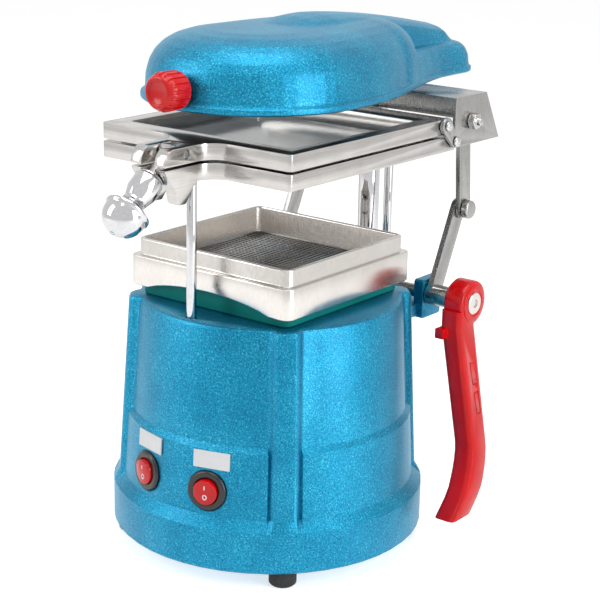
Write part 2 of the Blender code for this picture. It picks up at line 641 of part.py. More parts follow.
for side_x, side_y, where in ((1, -1, "front_right"), (-1, -1, "front_left"),
                              (1, 1, "rear_right"), (-1, 1, "rear_left")):
    reach = FOOT_CIRCLE_RADIUS / math.sqrt(2)
    profile = [(0.0, FOOT_HEIGHT - GAP), (FOOT_RADIUS, FOOT_HEIGHT - GAP),
               (FOOT_RADIUS, FOOT_EDGE), (FOOT_RADIUS - FOOT_EDGE, 0.0), (0.0, 0.0)]
    turned("foot_" + where, profile, (side_x * reach, side_y * reach, 0.0), (0, 0, 1), RUBBER, machine,
           SMALL_STEPS)


# Gasket, tray and mesh

gasket_bottom = DECK_HEIGHT + GAP
gasket = extruded("gasket", [rounded_square(GASKET_HALF, GASKET_HALF, TRAY_CORNER_RADIUS)], "XY",
                  gasket_bottom, gasket_bottom + GASKET_THICKNESS, TEAL, machine)

tray = extruded("vacuum_tray", [rounded_square(TRAY_FLANGE_HALF, TRAY_FLANGE_HALF, TRAY_CORNER_RADIUS)],
                "XY", TRAY_FLANGE_BOTTOM, TRAY_FLANGE_TOP, CAST, machine)
rim = extruded("tray_rim", [rounded_square(TRAY_RIM_HALF, TRAY_RIM_HALF, TRAY_CORNER_RADIUS)], "XY",
               TRAY_FLANGE_BOTTOM + TRAY_FLOOR, TRAY_RIM_TOP, None, machine)
combine(tray, rim, "UNION")
cavity_half = TRAY_RIM_HALF - TRAY_WALL
cavity = extruded("tray_cavity", [rounded_square(cavity_half, cavity_half, TRAY_WALL)], "XY",
                  TRAY_CAVITY_FLOOR, TRAY_RIM_TOP + TRAY_WALL, None, machine)
combine(tray, cavity)
seat_half = GASKET_HALF + GAP
gasket_seat_top = gasket_bottom + GASKET_THICKNESS + GAP
gasket_seat = extruded("gasket_seat", [rounded_square(seat_half, seat_half, TRAY_CORNER_RADIUS)], "XY",
                       TRAY_FLANGE_BOTTOM - TRAY_FLOOR, gasket_seat_top, None, machine)
combine(tray, gasket_seat)
arch = [(TRAY_ARCH_HALF, -TRAY_ARCH_RISE), (TRAY_ARCH_HALF, 0.0)]
for step in range(1, 12):
    share = step / 12
    arch.append((TRAY_ARCH_HALF * (1 - 2 * share), TRAY_ARCH_RISE * math.sin(math.pi * share) ** 0.7))
arch += [(-TRAY_ARCH_HALF, 0.0), (-TRAY_ARCH_HALF, -TRAY_ARCH_RISE)]
arch = [(x, TRAY_FLANGE_BOTTOM + rise) for x, rise in arch]
tray_arch = extruded("tray_arch", [arch], "XZ", -2 * TRAY_FLANGE_HALF, 2 * TRAY_FLANGE_HALF, None, machine)
combine(tray, tray_arch)
port = rod("vacuum_port", (0, 0, DECK_HEIGHT), (0, 0, TRAY_RIM_TOP), TRAY_PORT_RADIUS, None, machine,
           SMALL_STEPS)
combine(tray, port)

mesh_half = cavity_half - GAP
extruded("tray_mesh", [rounded_square(mesh_half, mesh_half, TRAY_WALL)], "XY",
         TRAY_CAVITY_FLOOR + GAP, TRAY_CAVITY_FLOOR + GAP + MESH_THICKNESS, DARK_STEEL, machine)


# Post and guide rods

rod("head_post", (0, POST_Y, POST_FOOT_Z), (0, POST_Y, HEAD_RIM_Z + POST_IN_HEAD), POST_RADIUS, CHROME, machine)
guide_rods = (("guide_rod_front", GUIDE_ROD_FRONT_Y, GUIDE_ROD_BOTTOM),
              ("guide_rod_rear", GUIDE_ROD_REAR_Y, REAR_ROD_BOTTOM))
for name, y, bottom in guide_rods:
    rod(name, (0, y, bottom), (0, y, LOWER_PLATE_BOTTOM - GAP), GUIDE_ROD_RADIUS, CHROME, frame_slide,
        SMALL_STEPS)


# Sheet frame: two plates, the sheet between them and the rear bracket

# The swing bolt hangs forward and down from its pivot in the fork.
hang = Vector((0.0, -math.cos(BOLT_HANG_ANGLE), -math.sin(BOLT_HANG_ANGLE)))
clamp_pivot = Vector((TAB_CENTRE_X, CLAMP_PIVOT_Y, CLAMP_PIVOT_Z))

def plate_outline(rear_y, tongue):
    # Anticlockwise from the front left corner, with the slotted tab and its fillets at the front
    fillet = TAB_FILLET_RADIUS
    left = TAB_CENTRE_X - TAB_HALF_WIDTH
    right = TAB_CENTRE_X + TAB_HALF_WIDTH
    slot_left = TAB_CENTRE_X - FORK_SLOT_HALF
    slot_right = TAB_CENTRE_X + FORK_SLOT_HALF
    corner = PLATE_CORNER_RADIUS
    points = arc((-FRAME_HALF_X + corner, FRAME_FRONT_Y + corner), corner, 180, 270, 3)
    points += arc((left - fillet, FRAME_FRONT_Y - fillet), fillet, 86, 0, 6)
    points += [(left, FORK_NOSE_Y), (slot_left, FORK_NOSE_Y), (slot_left, TAB_FRONT_Y)]
    points += [(slot_right, TAB_FRONT_Y), (slot_right, FORK_NOSE_Y), (right, FORK_NOSE_Y)]
    points += arc((right + fillet, FRAME_FRONT_Y - fillet), fillet, 180, 94, 6)
    points += arc((FRAME_HALF_X - corner, FRAME_FRONT_Y + corner), corner, 270, 360, 3)
    points += arc((FRAME_HALF_X - corner, rear_y - corner), corner, 0, 90, 3)
    points += tongue
    points += arc((-FRAME_HALF_X + corner, rear_y - corner), corner, 90, 180, 3)
    return points


opening = rounded_square(FRAME_OPENING_HALF, FRAME_OPENING_HALF, PLATE_CORNER_RADIUS)

tongue_half = BUSH_RADIUS + TONGUE_WALL
rear_tongue = [(tongue_half, LOWER_PLATE_REAR_Y), (tongue_half, GUIDE_ROD_REAR_Y)]
rear_tongue += arc((0.0, GUIDE_ROD_REAR_Y), tongue_half, 10, 170, 8)
rear_tongue += [(-tongue_half, GUIDE_ROD_REAR_Y), (-tongue_half, LOWER_PLATE_REAR_Y)]
lower_plate = extruded("lower_plate", [plate_outline(LOWER_PLATE_REAR_Y, rear_tongue), opening], "XY",
                       EAR_TIP_Z - EAR_CHAMFER, LOWER_PLATE_TOP, STEEL, frame_slide)
far_rear = 2 * GUIDE_ROD_REAR_Y
far_front = 2 * FORK_NOSE_Y
far_below = EAR_TIP_Z - EAR_DEPTH
across = Vector((0.0, math.sin(BOLT_HANG_ANGLE), -math.cos(BOLT_HANG_ANGLE)))
face_low = clamp_pivot + hang * EAR_FACE_REACH + across * (KNOB_NECK_RADIUS + GAP)
ear_rear = EAR_TIP_Y + EAR_TIP_HALF
under = [(far_rear, LOWER_PLATE_BOTTOM), (ear_rear + 2 * EAR_REAR_SLOPE, LOWER_PLATE_BOTTOM)]
under += [(ear_rear + EAR_REAR_SLOPE, EAR_TIP_Z + EAR_DEPTH / 2), (ear_rear, EAR_TIP_Z)]
ear_front = EAR_TIP_Y - EAR_TIP_HALF
under += [(ear_front, EAR_TIP_Z), (ear_front - EAR_CHAMFER, EAR_TIP_Z + EAR_CHAMFER)]
under += [(face_low.y, face_low.z)]
# Above that face the ears follow a circle about the pivot, so that the knob can swing off them
ear_turn = math.degrees(math.asin((CLAMP_PIVOT_Z - LOWER_PLATE_TOP) / EAR_FACE_REACH))
hang_degrees = math.degrees(BOLT_HANG_ANGLE)
under += arc((CLAMP_PIVOT_Y, CLAMP_PIVOT_Z), EAR_FACE_REACH, 180 + hang_degrees, 179 + ear_turn, 4)
under += [(far_front, LOWER_PLATE_TOP + GAP), (far_front, far_below), (far_rear, far_below)]
ear_cut = extruded("ear_cut", [under], "YZ", -2 * FRAME_HALF_X, 2 * FRAME_HALF_X, None, frame_slide)
combine(lower_plate, ear_cut)

upper_plate = extruded("upper_plate", [plate_outline(UPPER_PLATE_REAR_Y, []), opening], "XY",
                       UPPER_PLATE_BOTTOM, UPPER_PLATE_TOP, STEEL, frame_slide)
# The fork's nose is rounded over its whole thickness
nose = []
for step in range(8):
    angle = math.radians(84.0 - 76.0 * step / 7)
    nose.append((FORK_NOSE_Y + FORK_NOSE_ROUND * (1 - math.cos(angle)),
                 UPPER_PLATE_BOTTOM + PLATE_THICKNESS * math.sin(angle)))
nose_rear = FORK_NOSE_Y + FORK_NOSE_ROUND
nose = [(nose_rear, 2 * UPPER_PLATE_TOP), (nose_rear, UPPER_PLATE_TOP)] + nose
nose += [(far_front, nose[-1][1]), (far_front, 2 * UPPER_PLATE_TOP)]
nose_cut = extruded("nose_cut", [nose], "YZ", -FRAME_HALF_X, FRAME_HALF_X, None, frame_slide)
combine(upper_plate, nose_cut)

clamp_bore = rod("clamp_pin_bore", (TAB_CENTRE_X - TAB_HALF_WIDTH - GAP, CLAMP_PIVOT_Y, CLAMP_PIVOT_Z),
                 (TAB_CENTRE_X + TAB_HALF_WIDTH + GAP, CLAMP_PIVOT_Y, CLAMP_PIVOT_Z),
                 CLAMP_PIN_RADIUS + PIN_CLEARANCE, None, frame_slide, SMALL_STEPS)
combine(upper_plate, clamp_bore)
pin_reach = TAB_HALF_WIDTH - CLAMP_PIN_RECESS
clamp_pin = rod("clamp_pin", (TAB_CENTRE_X - pin_reach, CLAMP_PIVOT_Y, CLAMP_PIVOT_Z),
                (TAB_CENTRE_X + pin_reach, CLAMP_PIVOT_Y, CLAMP_PIVOT_Z),
                CLAMP_PIN_RADIUS, DARK_STEEL, frame_slide, SMALL_STEPS)

sheet = box("plastic_sheet", (-SHEET_HALF, -SHEET_HALF, LOWER_PLATE_TOP + GAP),
            (SHEET_HALF, SHEET_HALF, LOWER_PLATE_TOP + GAP + SHEET_THICKNESS), WHITE, frame_slide)

post_hole = rod("post_hole", (0, POST_Y, LOWER_PLATE_BOTTOM - GAP), (0, POST_Y, HEAD_RIM_Z),
                POST_RADIUS + PIN_CLEARANCE, None, frame_slide)
combine(lower_plate, post_hole)

bush_bottom = LOWER_PLATE_TOP + GAP
bush_profile = [(POST_RADIUS + PIN_CLEARANCE, BUSH_HEIGHT), (BUSH_RADIUS - BUSH_EDGE, BUSH_HEIGHT),
                (BUSH_RADIUS, BUSH_HEIGHT - BUSH_EDGE), (BUSH_RADIUS, 0.0),
                (POST_RADIUS + PIN_CLEARANCE, 0.0), (POST_RADIUS + PIN_CLEARANCE, BUSH_HEIGHT)]
guide_bush = turned("guide_bush", bush_profile, (0, POST_Y, bush_bottom), (0, 0, 1), STEEL, frame_slide)

side_outline = [(BRACKET_FRONT_Y, BRACKET_TOP), (BRACKET_FRONT_Y, HINGE_SCREW_Z - LOBE_SHOULDER_DROP)]
side_outline += arc((HINGE_SCREW_Y, HINGE_SCREW_Z), LOBE_RADIUS, 50, 225, 8)
side_outline += [(BRACKET_FRONT_Y, BRACKET_BOTTOM), (BRACKET_LOW_REAR_Y, BRACKET_BOTTOM)]
side_outline += [(BRACKET_TOP_REAR_Y, BRACKET_TOP)]
channel_inner = BRACKET_TOP - BRACKET_THICKNESS
channel = [(-BRACKET_OUTER_X, LOWER_PLATE_BOTTOM - GAP), (-BRACKET_INNER_X, LOWER_PLATE_BOTTOM - GAP),
           (-BRACKET_INNER_X, channel_inner), (BRACKET_INNER_X, channel_inner),
           (BRACKET_INNER_X, LOWER_PLATE_BOTTOM - GAP), (BRACKET_OUTER_X, LOWER_PLATE_BOTTOM - GAP),
           (BRACKET_OUTER_X, BRACKET_TOP + GAP), (-BRACKET_OUTER_X, BRACKET_TOP + GAP)]
bracket = extruded("rear_bracket", [channel], "XZ", HINGE_SCREW_Y - 3 * LOBE_RADIUS,
                   BRACKET_LOW_REAR_Y + LOBE_RADIUS, DARK_STEEL, frame_slide)
side_cut = extruded("bracket_side", [side_outline], "YZ", -2 * BRACKET_OUTER_X, 2 * BRACKET_OUTER_X,
                    None, frame_slide)
combine(bracket, side_cut, "INTERSECT")
lip = box("bracket_lip", (-BRACKET_INNER_X - GAP, BRACKET_FRONT_Y, BRACKET_TOP - BRACKET_LIP),
          (BRACKET_INNER_X + GAP, BRACKET_FRONT_Y + BRACKET_THICKNESS, channel_inner + GAP), None,
          frame_slide)
combine(bracket, lip, "UNION")
bush_hole = rod("bush_hole", (0, POST_Y, LOWER_PLATE_TOP), (0, POST_Y, HEAD_RIM_Z),
                BUSH_RADIUS + BUSH_PLAY, None, frame_slide)
combine(bracket, bush_hole)

hinge_screw_x = BRACKET_OUTER_X + GAP
for side, where in ((1, "right"), (-1, "left")):
    screws = (("hinge_screw_", HINGE_SCREW_Y, HINGE_SCREW_Z, upper_plate),
              ("fixing_screw_", FIXING_SCREW_Y, FIXING_SCREW_Z, lower_plate))
    for name, y, z, carrier in screws:
        profile = [(0.0, SCREW_HEAD_HEIGHT), (SCREW_HEAD_RADIUS - SCREW_HEAD_EDGE, SCREW_HEAD_HEIGHT),
                   (SCREW_HEAD_RADIUS, SCREW_HEAD_HEIGHT / 2), (SCREW_HEAD_RADIUS, 0.0),
                   (SCREW_RADIUS, 0.0), (SCREW_RADIUS, -SCREW_DEPTH), (0.0, -SCREW_DEPTH)]
        screw = turned(name + where, profile, (side * hinge_screw_x, y, z), (side, 0, 0),
                       CHROME, frame_slide, SMALL_STEPS)
        hole = rod("screw_hole", (side * (FRAME_HALF_X - SCREW_DEPTH), y, z),
                   (side * (BRACKET_OUTER_X + GAP), y, z), SCREW_RADIUS + PIN_CLEARANCE, None,
                   frame_slide, SMALL_STEPS)
        combine(bracket, hole)
        combine(carrier, hole)
    nut_profile = [(0.0, NUT_THICKNESS + STUD_PROUD), (STUD_RADIUS, NUT_THICKNESS + STUD_PROUD),
                   (STUD_RADIUS, NUT_THICKNESS), (NUT_RADIUS, NUT_THICKNESS), (NUT_RADIUS, 0.0),
                   (STUD_RADIUS, 0.0), (STUD_RADIUS, -BRACKET_THICKNESS), (0.0, -BRACKET_THICKNESS)]
    stud = turned("link_stud_" + where, nut_profile, (side * hinge_screw_x, STUD_Y, STUD_Z), (side, 0, 0),
                  STEEL, frame_slide, 6)
    stud_hole = rod("stud_hole", (side * BRACKET_INNER_X, STUD_Y, STUD_Z),
                    (side * (BRACKET_OUTER_X + GAP), STUD_Y, STUD_Z), STUD_RADIUS + PIN_CLEARANCE, None,
                    frame_slide, SMALL_STEPS)
    combine(bracket, stud_hole)


# Swing bolt and clamp knob

knob_axis = pivot("knob_axis", clamp_axis, clamp_pivot + hang * KNOB_SHOULDER_REACH)

eye_half = FORK_SLOT_HALF - 2 * GAP
eye_side = Vector((eye_half, 0.0, 0.0))
swing_bolt = rod("swing_bolt", clamp_pivot - eye_side, clamp_pivot + eye_side, BOLT_EYE_RADIUS, STEEL,
                 clamp_axis, SMALL_STEPS)
shank = rod("bolt_shank", clamp_pivot, clamp_pivot + hang * BOLT_LENGTH, BOLT_SHANK_RADIUS, None,
            clamp_axis, SMALL_STEPS)
combine(swing_bolt, shank, "UNION")
eye_bore = rod("eye_bore", clamp_pivot - 2 * eye_side, clamp_pivot + 2 * eye_side,
               CLAMP_PIN_RADIUS + PIN_CLEARANCE, None, clamp_axis, SMALL_STEPS)
combine(swing_bolt, eye_bore)


def knob_profile():
    # From the ball's end to the shoulder, then back up the thread's bore; heights run outwards
    ball = KNOB_BALL_REACH - KNOB_SHOULDER_REACH
    outline = []
    for step in range(9):
        angle = math.radians(90.0 - 90.0 * step / 8)
        outline.append((KNOB_BALL_RADIUS * math.cos(angle), ball + KNOB_BALL_RADIUS * math.sin(angle)))
    collar_top = ball - KNOB_COLLAR_SETBACK
    collar_low = collar_top - KNOB_COLLAR_WIDTH
    outline += [(KNOB_BALL_RADIUS, collar_top), (KNOB_COLLAR_RADIUS, collar_top - KNOB_COLLAR_EDGE),
                (KNOB_COLLAR_RADIUS, collar_low + KNOB_COLLAR_EDGE),
                (KNOB_COLLAR_RADIUS - 2 * KNOB_COLLAR_EDGE, collar_low)]
    # A waist drawn in between the collar and the neck, on a cosine
    waist_drop = KNOB_COLLAR_RADIUS - 2 * KNOB_COLLAR_EDGE - KNOB_WAIST_RADIUS
    for step in range(1, 5):
        share = step / 4
        height = collar_low - (KNOB_WAIST_SETBACK - KNOB_COLLAR_WIDTH) * share
        outline.append((KNOB_WAIST_RADIUS + waist_drop * (1 - share) ** 2, height))
    waist = outline[-1][1]
    neck = ball - KNOB_NECK_SETBACK
    outline += [((KNOB_WAIST_RADIUS + KNOB_NECK_RADIUS) / 2, (waist + neck) / 2), (KNOB_NECK_RADIUS, neck)]
    outline += [(KNOB_NECK_RADIUS, 2 * KNOB_NECK_EDGE), (KNOB_NECK_RADIUS - KNOB_NECK_EDGE, KNOB_NECK_EDGE),
                (KNOB_NECK_RADIUS - KNOB_NECK_EDGE, 0.0)]
    bore = BOLT_SHANK_RADIUS + PIN_CLEARANCE
    floor = BOLT_LENGTH - KNOB_SHOULDER_REACH + GAP
    outline += [(bore, 0.0), (bore, floor), (0.0, floor)]
    return outline


turned("clamp_knob", knob_profile(), clamp_pivot + hang * KNOB_SHOULDER_REACH, hang, CHROME, knob_axis)


# Crank shaft, cranks, links and lever

def bar_outline(start, end, width, steps=8):
    # A flat bar with round ends about both points, in the YZ plane
    angle = math.degrees(math.atan2(end[1] - start[1], end[0] - start[0]))
    outline = arc(end, width / 2, angle - 90, angle + 90, steps)
    outline += arc(start, width / 2, angle + 90, angle + 270, steps)
    return outline


shaft_left_end = -(CRANK_OUTER_X + SHAFT_RADIUS / 2)
rod("crank_shaft", (shaft_left_end, CRANK_Y, CRANK_Z), (LEVER_INNER_X + LEVER_SEAT_DEPTH, CRANK_Y, CRANK_Z),
    SHAFT_RADIUS, DARK_STEEL, lever_axis, SMALL_STEPS)
crank_start = (CRANK_Y, CRANK_Z)
crank_end = (CRANK_PIN_Y, CRANK_PIN_Z)
link_end = (STUD_Y, STUD_Z)
for side, where, link_axis in ((1, "right", link_axis_right), (-1, "left", link_axis_left)):
    near, far = sorted((side * CRANK_INNER_X, side * CRANK_OUTER_X))
    crank = extruded("crank_" + where, [bar_outline(crank_start, crank_end, LINK_WIDTH)], "YZ", near, far,
                     DARK_STEEL, lever_axis)
    sleeve_outer = LEVER_INNER_X - GAP if side == 1 else CRANK_OUTER_X + LINK_CLEARANCE
    sleeve = rod("crank_sleeve", (side * (CRANK_INNER_X - LINK_CLEARANCE), CRANK_Y, CRANK_Z),
                 (side * sleeve_outer, CRANK_Y, CRANK_Z), SLEEVE_RADIUS, None, lever_axis)
    combine(crank, sleeve, "UNION")
    keyway = rod("shaft_seat", (-LEVER_OUTER_X, CRANK_Y, CRANK_Z), (LEVER_OUTER_X, CRANK_Y, CRANK_Z),
                 SHAFT_RADIUS + PIN_CLEARANCE, None, lever_axis, SMALL_STEPS)
    combine(crank, keyway)
    pin_hole = rod("crank_pin_hole", (side * (CRANK_INNER_X - GAP), *crank_end),
                   (side * (CRANK_OUTER_X + GAP), *crank_end), LINK_PIN_RADIUS + PIN_CLEARANCE, None,
                   lever_axis, SMALL_STEPS)
    combine(crank, pin_hole)

    near, far = sorted((side * LINK_INNER_X, side * LINK_OUTER_X))
    link = extruded("upper_link_" + where, [bar_outline(crank_end, link_end, LINK_WIDTH)], "YZ", near, far,
                    DARK_STEEL, link_axis)
    for y, z in (crank_end, link_end):
        eye = rod("link_eye", (near - GAP, y, z), (far + GAP, y, z), LINK_PIN_RADIUS + PIN_CLEARANCE, None,
                  link_axis, SMALL_STEPS)
        combine(link, eye)

    head = PIVOT_HEAD_THICKNESS
    depth = LINK_OUTER_X + LINK_CLEARANCE - CRANK_INNER_X
    profile = [(0.0, head), (PIVOT_HEAD_RADIUS - PIVOT_HEAD_EDGE, head),
               (PIVOT_HEAD_RADIUS, head - PIVOT_HEAD_EDGE), (PIVOT_HEAD_RADIUS, 0.0),
               (LINK_PIN_RADIUS, 0.0), (LINK_PIN_RADIUS, -depth), (0.0, -depth)]
    turned("pivot_bolt_" + where, profile, (side * (LINK_OUTER_X + LINK_CLEARANCE), *crank_end),
           (side, 0, 0), DARK_STEEL, lever_axis, SMALL_STEPS)


def lever_section(z):
    # A level ring of the arm: nearly straight down, then hooked forward, and leaning outwards
    top = CRANK_Z - LEVER_HUB_RADIUS
    down = min(max((top - z) / (top - LEVER_BEND_Z), 0.0), 1.0)
    hook = max((LEVER_BEND_Z - z) / (LEVER_BEND_Z - LEVER_TIP_Z), 0.0)
    front = LEVER_FRONT_Y - LEVER_FRONT_TAPER * down - LEVER_HOOK_FRONT * hook ** 1.5
    rear = LEVER_REAR_Y - LEVER_REAR_TAPER * down - LEVER_HOOK_REAR * hook ** 1.7
    lean = LEVER_LEAN * min(max((top - z) / (top - LEVER_LEAN_END_Z), 0.0), 1.0)
    middle_x = (LEVER_INNER_X + LEVER_OUTER_X) / 2 + lean
    middle_y = (front + rear) / 2
    outline = rounded_square(LEVER_THICKNESS / 2, (rear - front) / 2, LEVER_CORNER, 3)
    return [(middle_x + x, middle_y + y, z) for x, y in outline]


lever_heights = [CRANK_Z - LEVER_CORNER, CRANK_Z - LEVER_HUB_RADIUS]
lever_heights += [LEVER_BEND_Z + (CRANK_Z - LEVER_HUB_RADIUS - LEVER_BEND_Z) * (3 - i) / 4 for i in range(3)]
lever_heights += [LEVER_BEND_Z - (LEVER_BEND_Z - LEVER_TIP_Z) * i / 8 for i in range(9)]
lever = loft("lever_handle", [lever_section(z) for z in lever_heights], RED, lever_axis)
stop_top = CRANK_Z - LEVER_HUB_RADIUS
stop_low = (LEVER_INNER_X + GAP, LEVER_FRONT_Y - LEVER_STOP_LENGTH, stop_top - LEVER_STOP_WIDTH)
stop_high = (LEVER_INNER_X + LEVER_STOP_WIDTH, LEVER_FRONT_Y + LEVER_STOP_LENGTH, stop_top)
stop = box("lever_stop", stop_low, stop_high, None, lever_axis)
combine(lever, stop, "UNION")
hub_profile = [(0.0, LEVER_THICKNESS), (LEVER_HUB_RADIUS - LEVER_HUB_ROUND, LEVER_THICKNESS),
               (LEVER_HUB_RADIUS - LEVER_HUB_ROUND / 4, LEVER_THICKNESS - LEVER_HUB_ROUND / 3),
               (LEVER_HUB_RADIUS, LEVER_THICKNESS - LEVER_HUB_ROUND), (LEVER_HUB_RADIUS, LEVER_HUB_ROUND),
               (LEVER_HUB_RADIUS - LEVER_HUB_ROUND, 0.0), (0.0, 0.0)]
hub = turned("lever_hub", hub_profile, (LEVER_INNER_X, CRANK_Y, CRANK_Z), (1, 0, 0), None, lever_axis)
combine(lever, hub, "UNION")
lever_seat = rod("lever_seat", (LEVER_INNER_X - GAP, CRANK_Y, CRANK_Z),
                 (LEVER_INNER_X + LEVER_SEAT_DEPTH + GAP, CRANK_Y, CRANK_Z),
                 SHAFT_RADIUS + PIN_CLEARANCE, None, lever_axis, SMALL_STEPS)
combine(lever, lever_seat)
cap_seat_x = LEVER_OUTER_X - LEVER_CAP_THICKNESS / 2
cap_seat = rod("cap_seat", (cap_seat_x, CRANK_Y, CRANK_Z), (LEVER_OUTER_X + LEVER_THICKNESS, CRANK_Y, CRANK_Z),
               LEVER_CAP_RADIUS + PIN_CLEARANCE, None, lever_axis)
combine(lever, cap_seat)
cap_edge = LEVER_CAP_THICKNESS / 2
cap_profile = [(0.0, LEVER_CAP_THICKNESS), (LEVER_CAP_RADIUS - cap_edge, LEVER_CAP_THICKNESS),
               (LEVER_CAP_RADIUS, LEVER_CAP_THICKNESS - cap_edge), (LEVER_CAP_RADIUS, 0.0), (0.0, 0.0)]
turned("lever_screw", cap_profile, (cap_seat_x + GAP, CRANK_Y, CRANK_Z), (1, 0, 0), STEEL, lever_axis)


# Heater head: dome, rear lobe and spine on one rim

def head_outline(steps=12):
    # Half the rim from the front to the rear, as (x, y), then mirrored
    half = []
    for step in range(steps + 1):
        angle = math.radians(-90.0 + 90.0 * step / steps)
        half.append((HEAD_HALF_WIDTH * math.cos(angle), HEAD_CENTRE_Y + HEAD_FRONT_REACH * math.sin(angle)))
    for step in range(1, steps + 1):
        share = step / steps
        blend = 0.5 + 0.5 * math.cos(math.pi * share ** HEAD_WAIST_POWER)
        half.append((LOBE_HALF_WIDTH + (HEAD_HALF_WIDTH - LOBE_HALF_WIDTH) * blend,
                     HEAD_CENTRE_Y + HEAD_WAIST_LENGTH * share))
    half += arc((LOBE_HALF_WIDTH - LOBE_CORNER, LOBE_END_Y - LOBE_CORNER), LOBE_CORNER, 0, 90, 5)
    left = [(-x, y) for x, y in reversed(half[1:])]
    return half + left


def dome_rings(outline, spine_low, spine_high, heights):
    # Each ring draws the outline in towards a line along Y; heights are (inset share, z)
    rings = []
    for share, z in heights:
        ring = []
        for x, y in outline:
            keep_y = min(max(y, spine_low), spine_high)
            ring.append((x * (1 - share), keep_y + (y - keep_y) * (1 - share), z))
        rings.append(ring)
    return rings


def offset_outline(outline, distance):
    # Moves every point of the rim outwards from the nearest point of the middle line
    moved = []
    for x, y in outline:
        keep_y = min(max(y, HEAD_CENTRE_Y), LOBE_END_Y - LOBE_HALF_WIDTH)
        length = math.hypot(x, y - keep_y)
        moved.append((x + x / length * distance, y + (y - keep_y) / length * distance))
    return moved


head_shift = Matrix.Translation((HEAD_CENTRE_X, 0.0, 0.0))
lobe_middle_y = LOBE_END_Y - LOBE_HALF_WIDTH
rim_outline = head_outline()
bead_outline = offset_outline(rim_outline, HEAD_BEAD)
bead_rings = [[(x, y, HEAD_RIM_Z) for x, y in rim_outline],
              [(x, y, HEAD_RIM_Z + HEAD_BEAD_EDGE) for x, y in bead_outline],
              [(x, y, HEAD_RIM_Z + HEAD_BEAD_HEIGHT - HEAD_BEAD_EDGE) for x, y in bead_outline],
              [(x, y, HEAD_RIM_Z + HEAD_BEAD_HEIGHT) for x, y in rim_outline]]
lobe_heights = []
for step in range(1, 5):
    angle = math.radians(22.0 * step)
    lobe_heights.append((0.25 * (1 - math.cos(angle)), HEAD_RIM_Z + LOBE_HEIGHT * math.sin(angle) ** 0.6))
lobe_outline = []
for x, y in rim_outline:
    under_dome = min(max((HEAD_NECK_Y - y) / (HEAD_NECK_Y - DOME_CREST_END_Y), 0.0), 1.0)
    keep = 1.0 - LOBE_INSET * under_dome
    lobe_outline.append((x * keep, y if y > HEAD_CENTRE_Y else HEAD_CENTRE_Y + (y - HEAD_CENTRE_Y) * keep))
low_rings = dome_rings(lobe_outline, HEAD_CENTRE_Y, lobe_middle_y, lobe_heights)
heater_head = loft("heater_head", bead_rings + low_rings, BLUE, head_axis, head_shift)

half_dome = []
for x, y in rim_outline[:len(rim_outline) // 2]:
    if y < DOME_CREST_END_Y:
        half_dome.append((x * DOME_INSET, HEAD_CENTRE_Y + (y - HEAD_CENTRE_Y) * DOME_INSET))
crest_x, crest_y = half_dome[-1]
for step in range(1, 11):
    angle = math.radians(90.0 * step / 10)
    half_dome.append((crest_x * math.cos(angle), crest_y + DOME_TAIL * math.sin(angle)))
dome_outline = half_dome + [(-x, y) for x, y in reversed(half_dome[1:-1])]
dome_rise = HEAD_DOME_HEIGHT - HEAD_BEAD_HEIGHT
dome_heights = [(0.0, HEAD_RIM_Z + HEAD_BEAD_HEIGHT / 2)]
for step in range(1, 9):
    angle = math.radians(90.0 * step / 8)
    inset = min(1 - math.cos(angle) ** 0.5, DOME_TOP_INSET)
    dome_heights.append((inset, HEAD_RIM_Z + HEAD_BEAD_HEIGHT + dome_rise * math.sin(angle) ** 0.75))
dome = loft("head_dome", dome_rings(dome_outline, HEAD_CENTRE_Y, DOME_CREST_END_Y, dome_heights), None,
            head_axis, head_shift)
combine(heater_head, dome, "UNION")


def spine_top(y):
    # Rises from the front of the dome, crests over the middle and falls to the rear
    top = HEAD_RIM_Z + SPINE_HEIGHT
    if y < SPINE_CREST_Y:
        return top - SPINE_FRONT_FALL * ((SPINE_CREST_Y - y) / (SPINE_CREST_Y - SPINE_FRONT_Y)) ** 2
    return top - SPINE_REAR_FALL * ((y - SPINE_CREST_Y) / (SPINE_REAR_Y - SPINE_CREST_Y)) ** 1.5


spine_rings = []
spine_steps = 12
spine_low = HEAD_RIM_Z + HEAD_BEAD_HEIGHT
for step in range(spine_steps + 1):
    y = SPINE_FRONT_Y + (SPINE_REAR_Y - SPINE_FRONT_Y) * step / spine_steps
    top = spine_top(y)
    if step == spine_steps:
        top -= SPINE_END_DROP
    half = SPINE_HALF_WIDTH * min(1.0, (step + 1.5) / 4)
    # The top is half an ellipse over two upright sides
    section = [(half, spine_low)]
    for turn in range(9):
        angle = math.radians(180.0 * turn / 8)
        section.append((half * math.cos(angle), top - SPINE_SHOULDER * (1 - math.sin(angle) ** 0.8)))
    section.append((-half, spine_low))
    spine_rings.append([(x, y, z) for x, z in section])
spine = loft("head_spine", spine_rings, None, head_axis, head_shift)
combine(heater_head, spine, "UNION")

heater_recess = rod("heater_recess", (HEAD_CENTRE_X, HEAD_CENTRE_Y, HEAD_RIM_Z - GAP),
                    (HEAD_CENTRE_X, HEAD_CENTRE_Y, HEAD_RIM_Z + HEATER_RECESS_DEPTH), HEATER_RECESS_RADIUS,
                    None, head_axis)
combine(heater_head, heater_recess)
head_bore = rod("head_bore", (0, POST_Y, HEAD_RIM_Z - GAP), (0, POST_Y, HEAD_RIM_Z + POST_IN_HEAD + GAP),
                POST_RADIUS + PIN_CLEARANCE, None, head_axis)
combine(heater_head, head_bore)
knob_bore = rod("knob_bore", (HEAD_CENTRE_X, HEAD_FRONT_Y - HEAD_BEAD, HEAD_KNOB_Z),
                (HEAD_CENTRE_X, HEAD_FRONT_Y + HEAD_KNOB_STUD_LENGTH + GAP, HEAD_KNOB_Z),
                HEAD_KNOB_STUD_RADIUS + PIN_CLEARANCE, None, head_axis, SMALL_STEPS)
combine(heater_head, knob_bore)

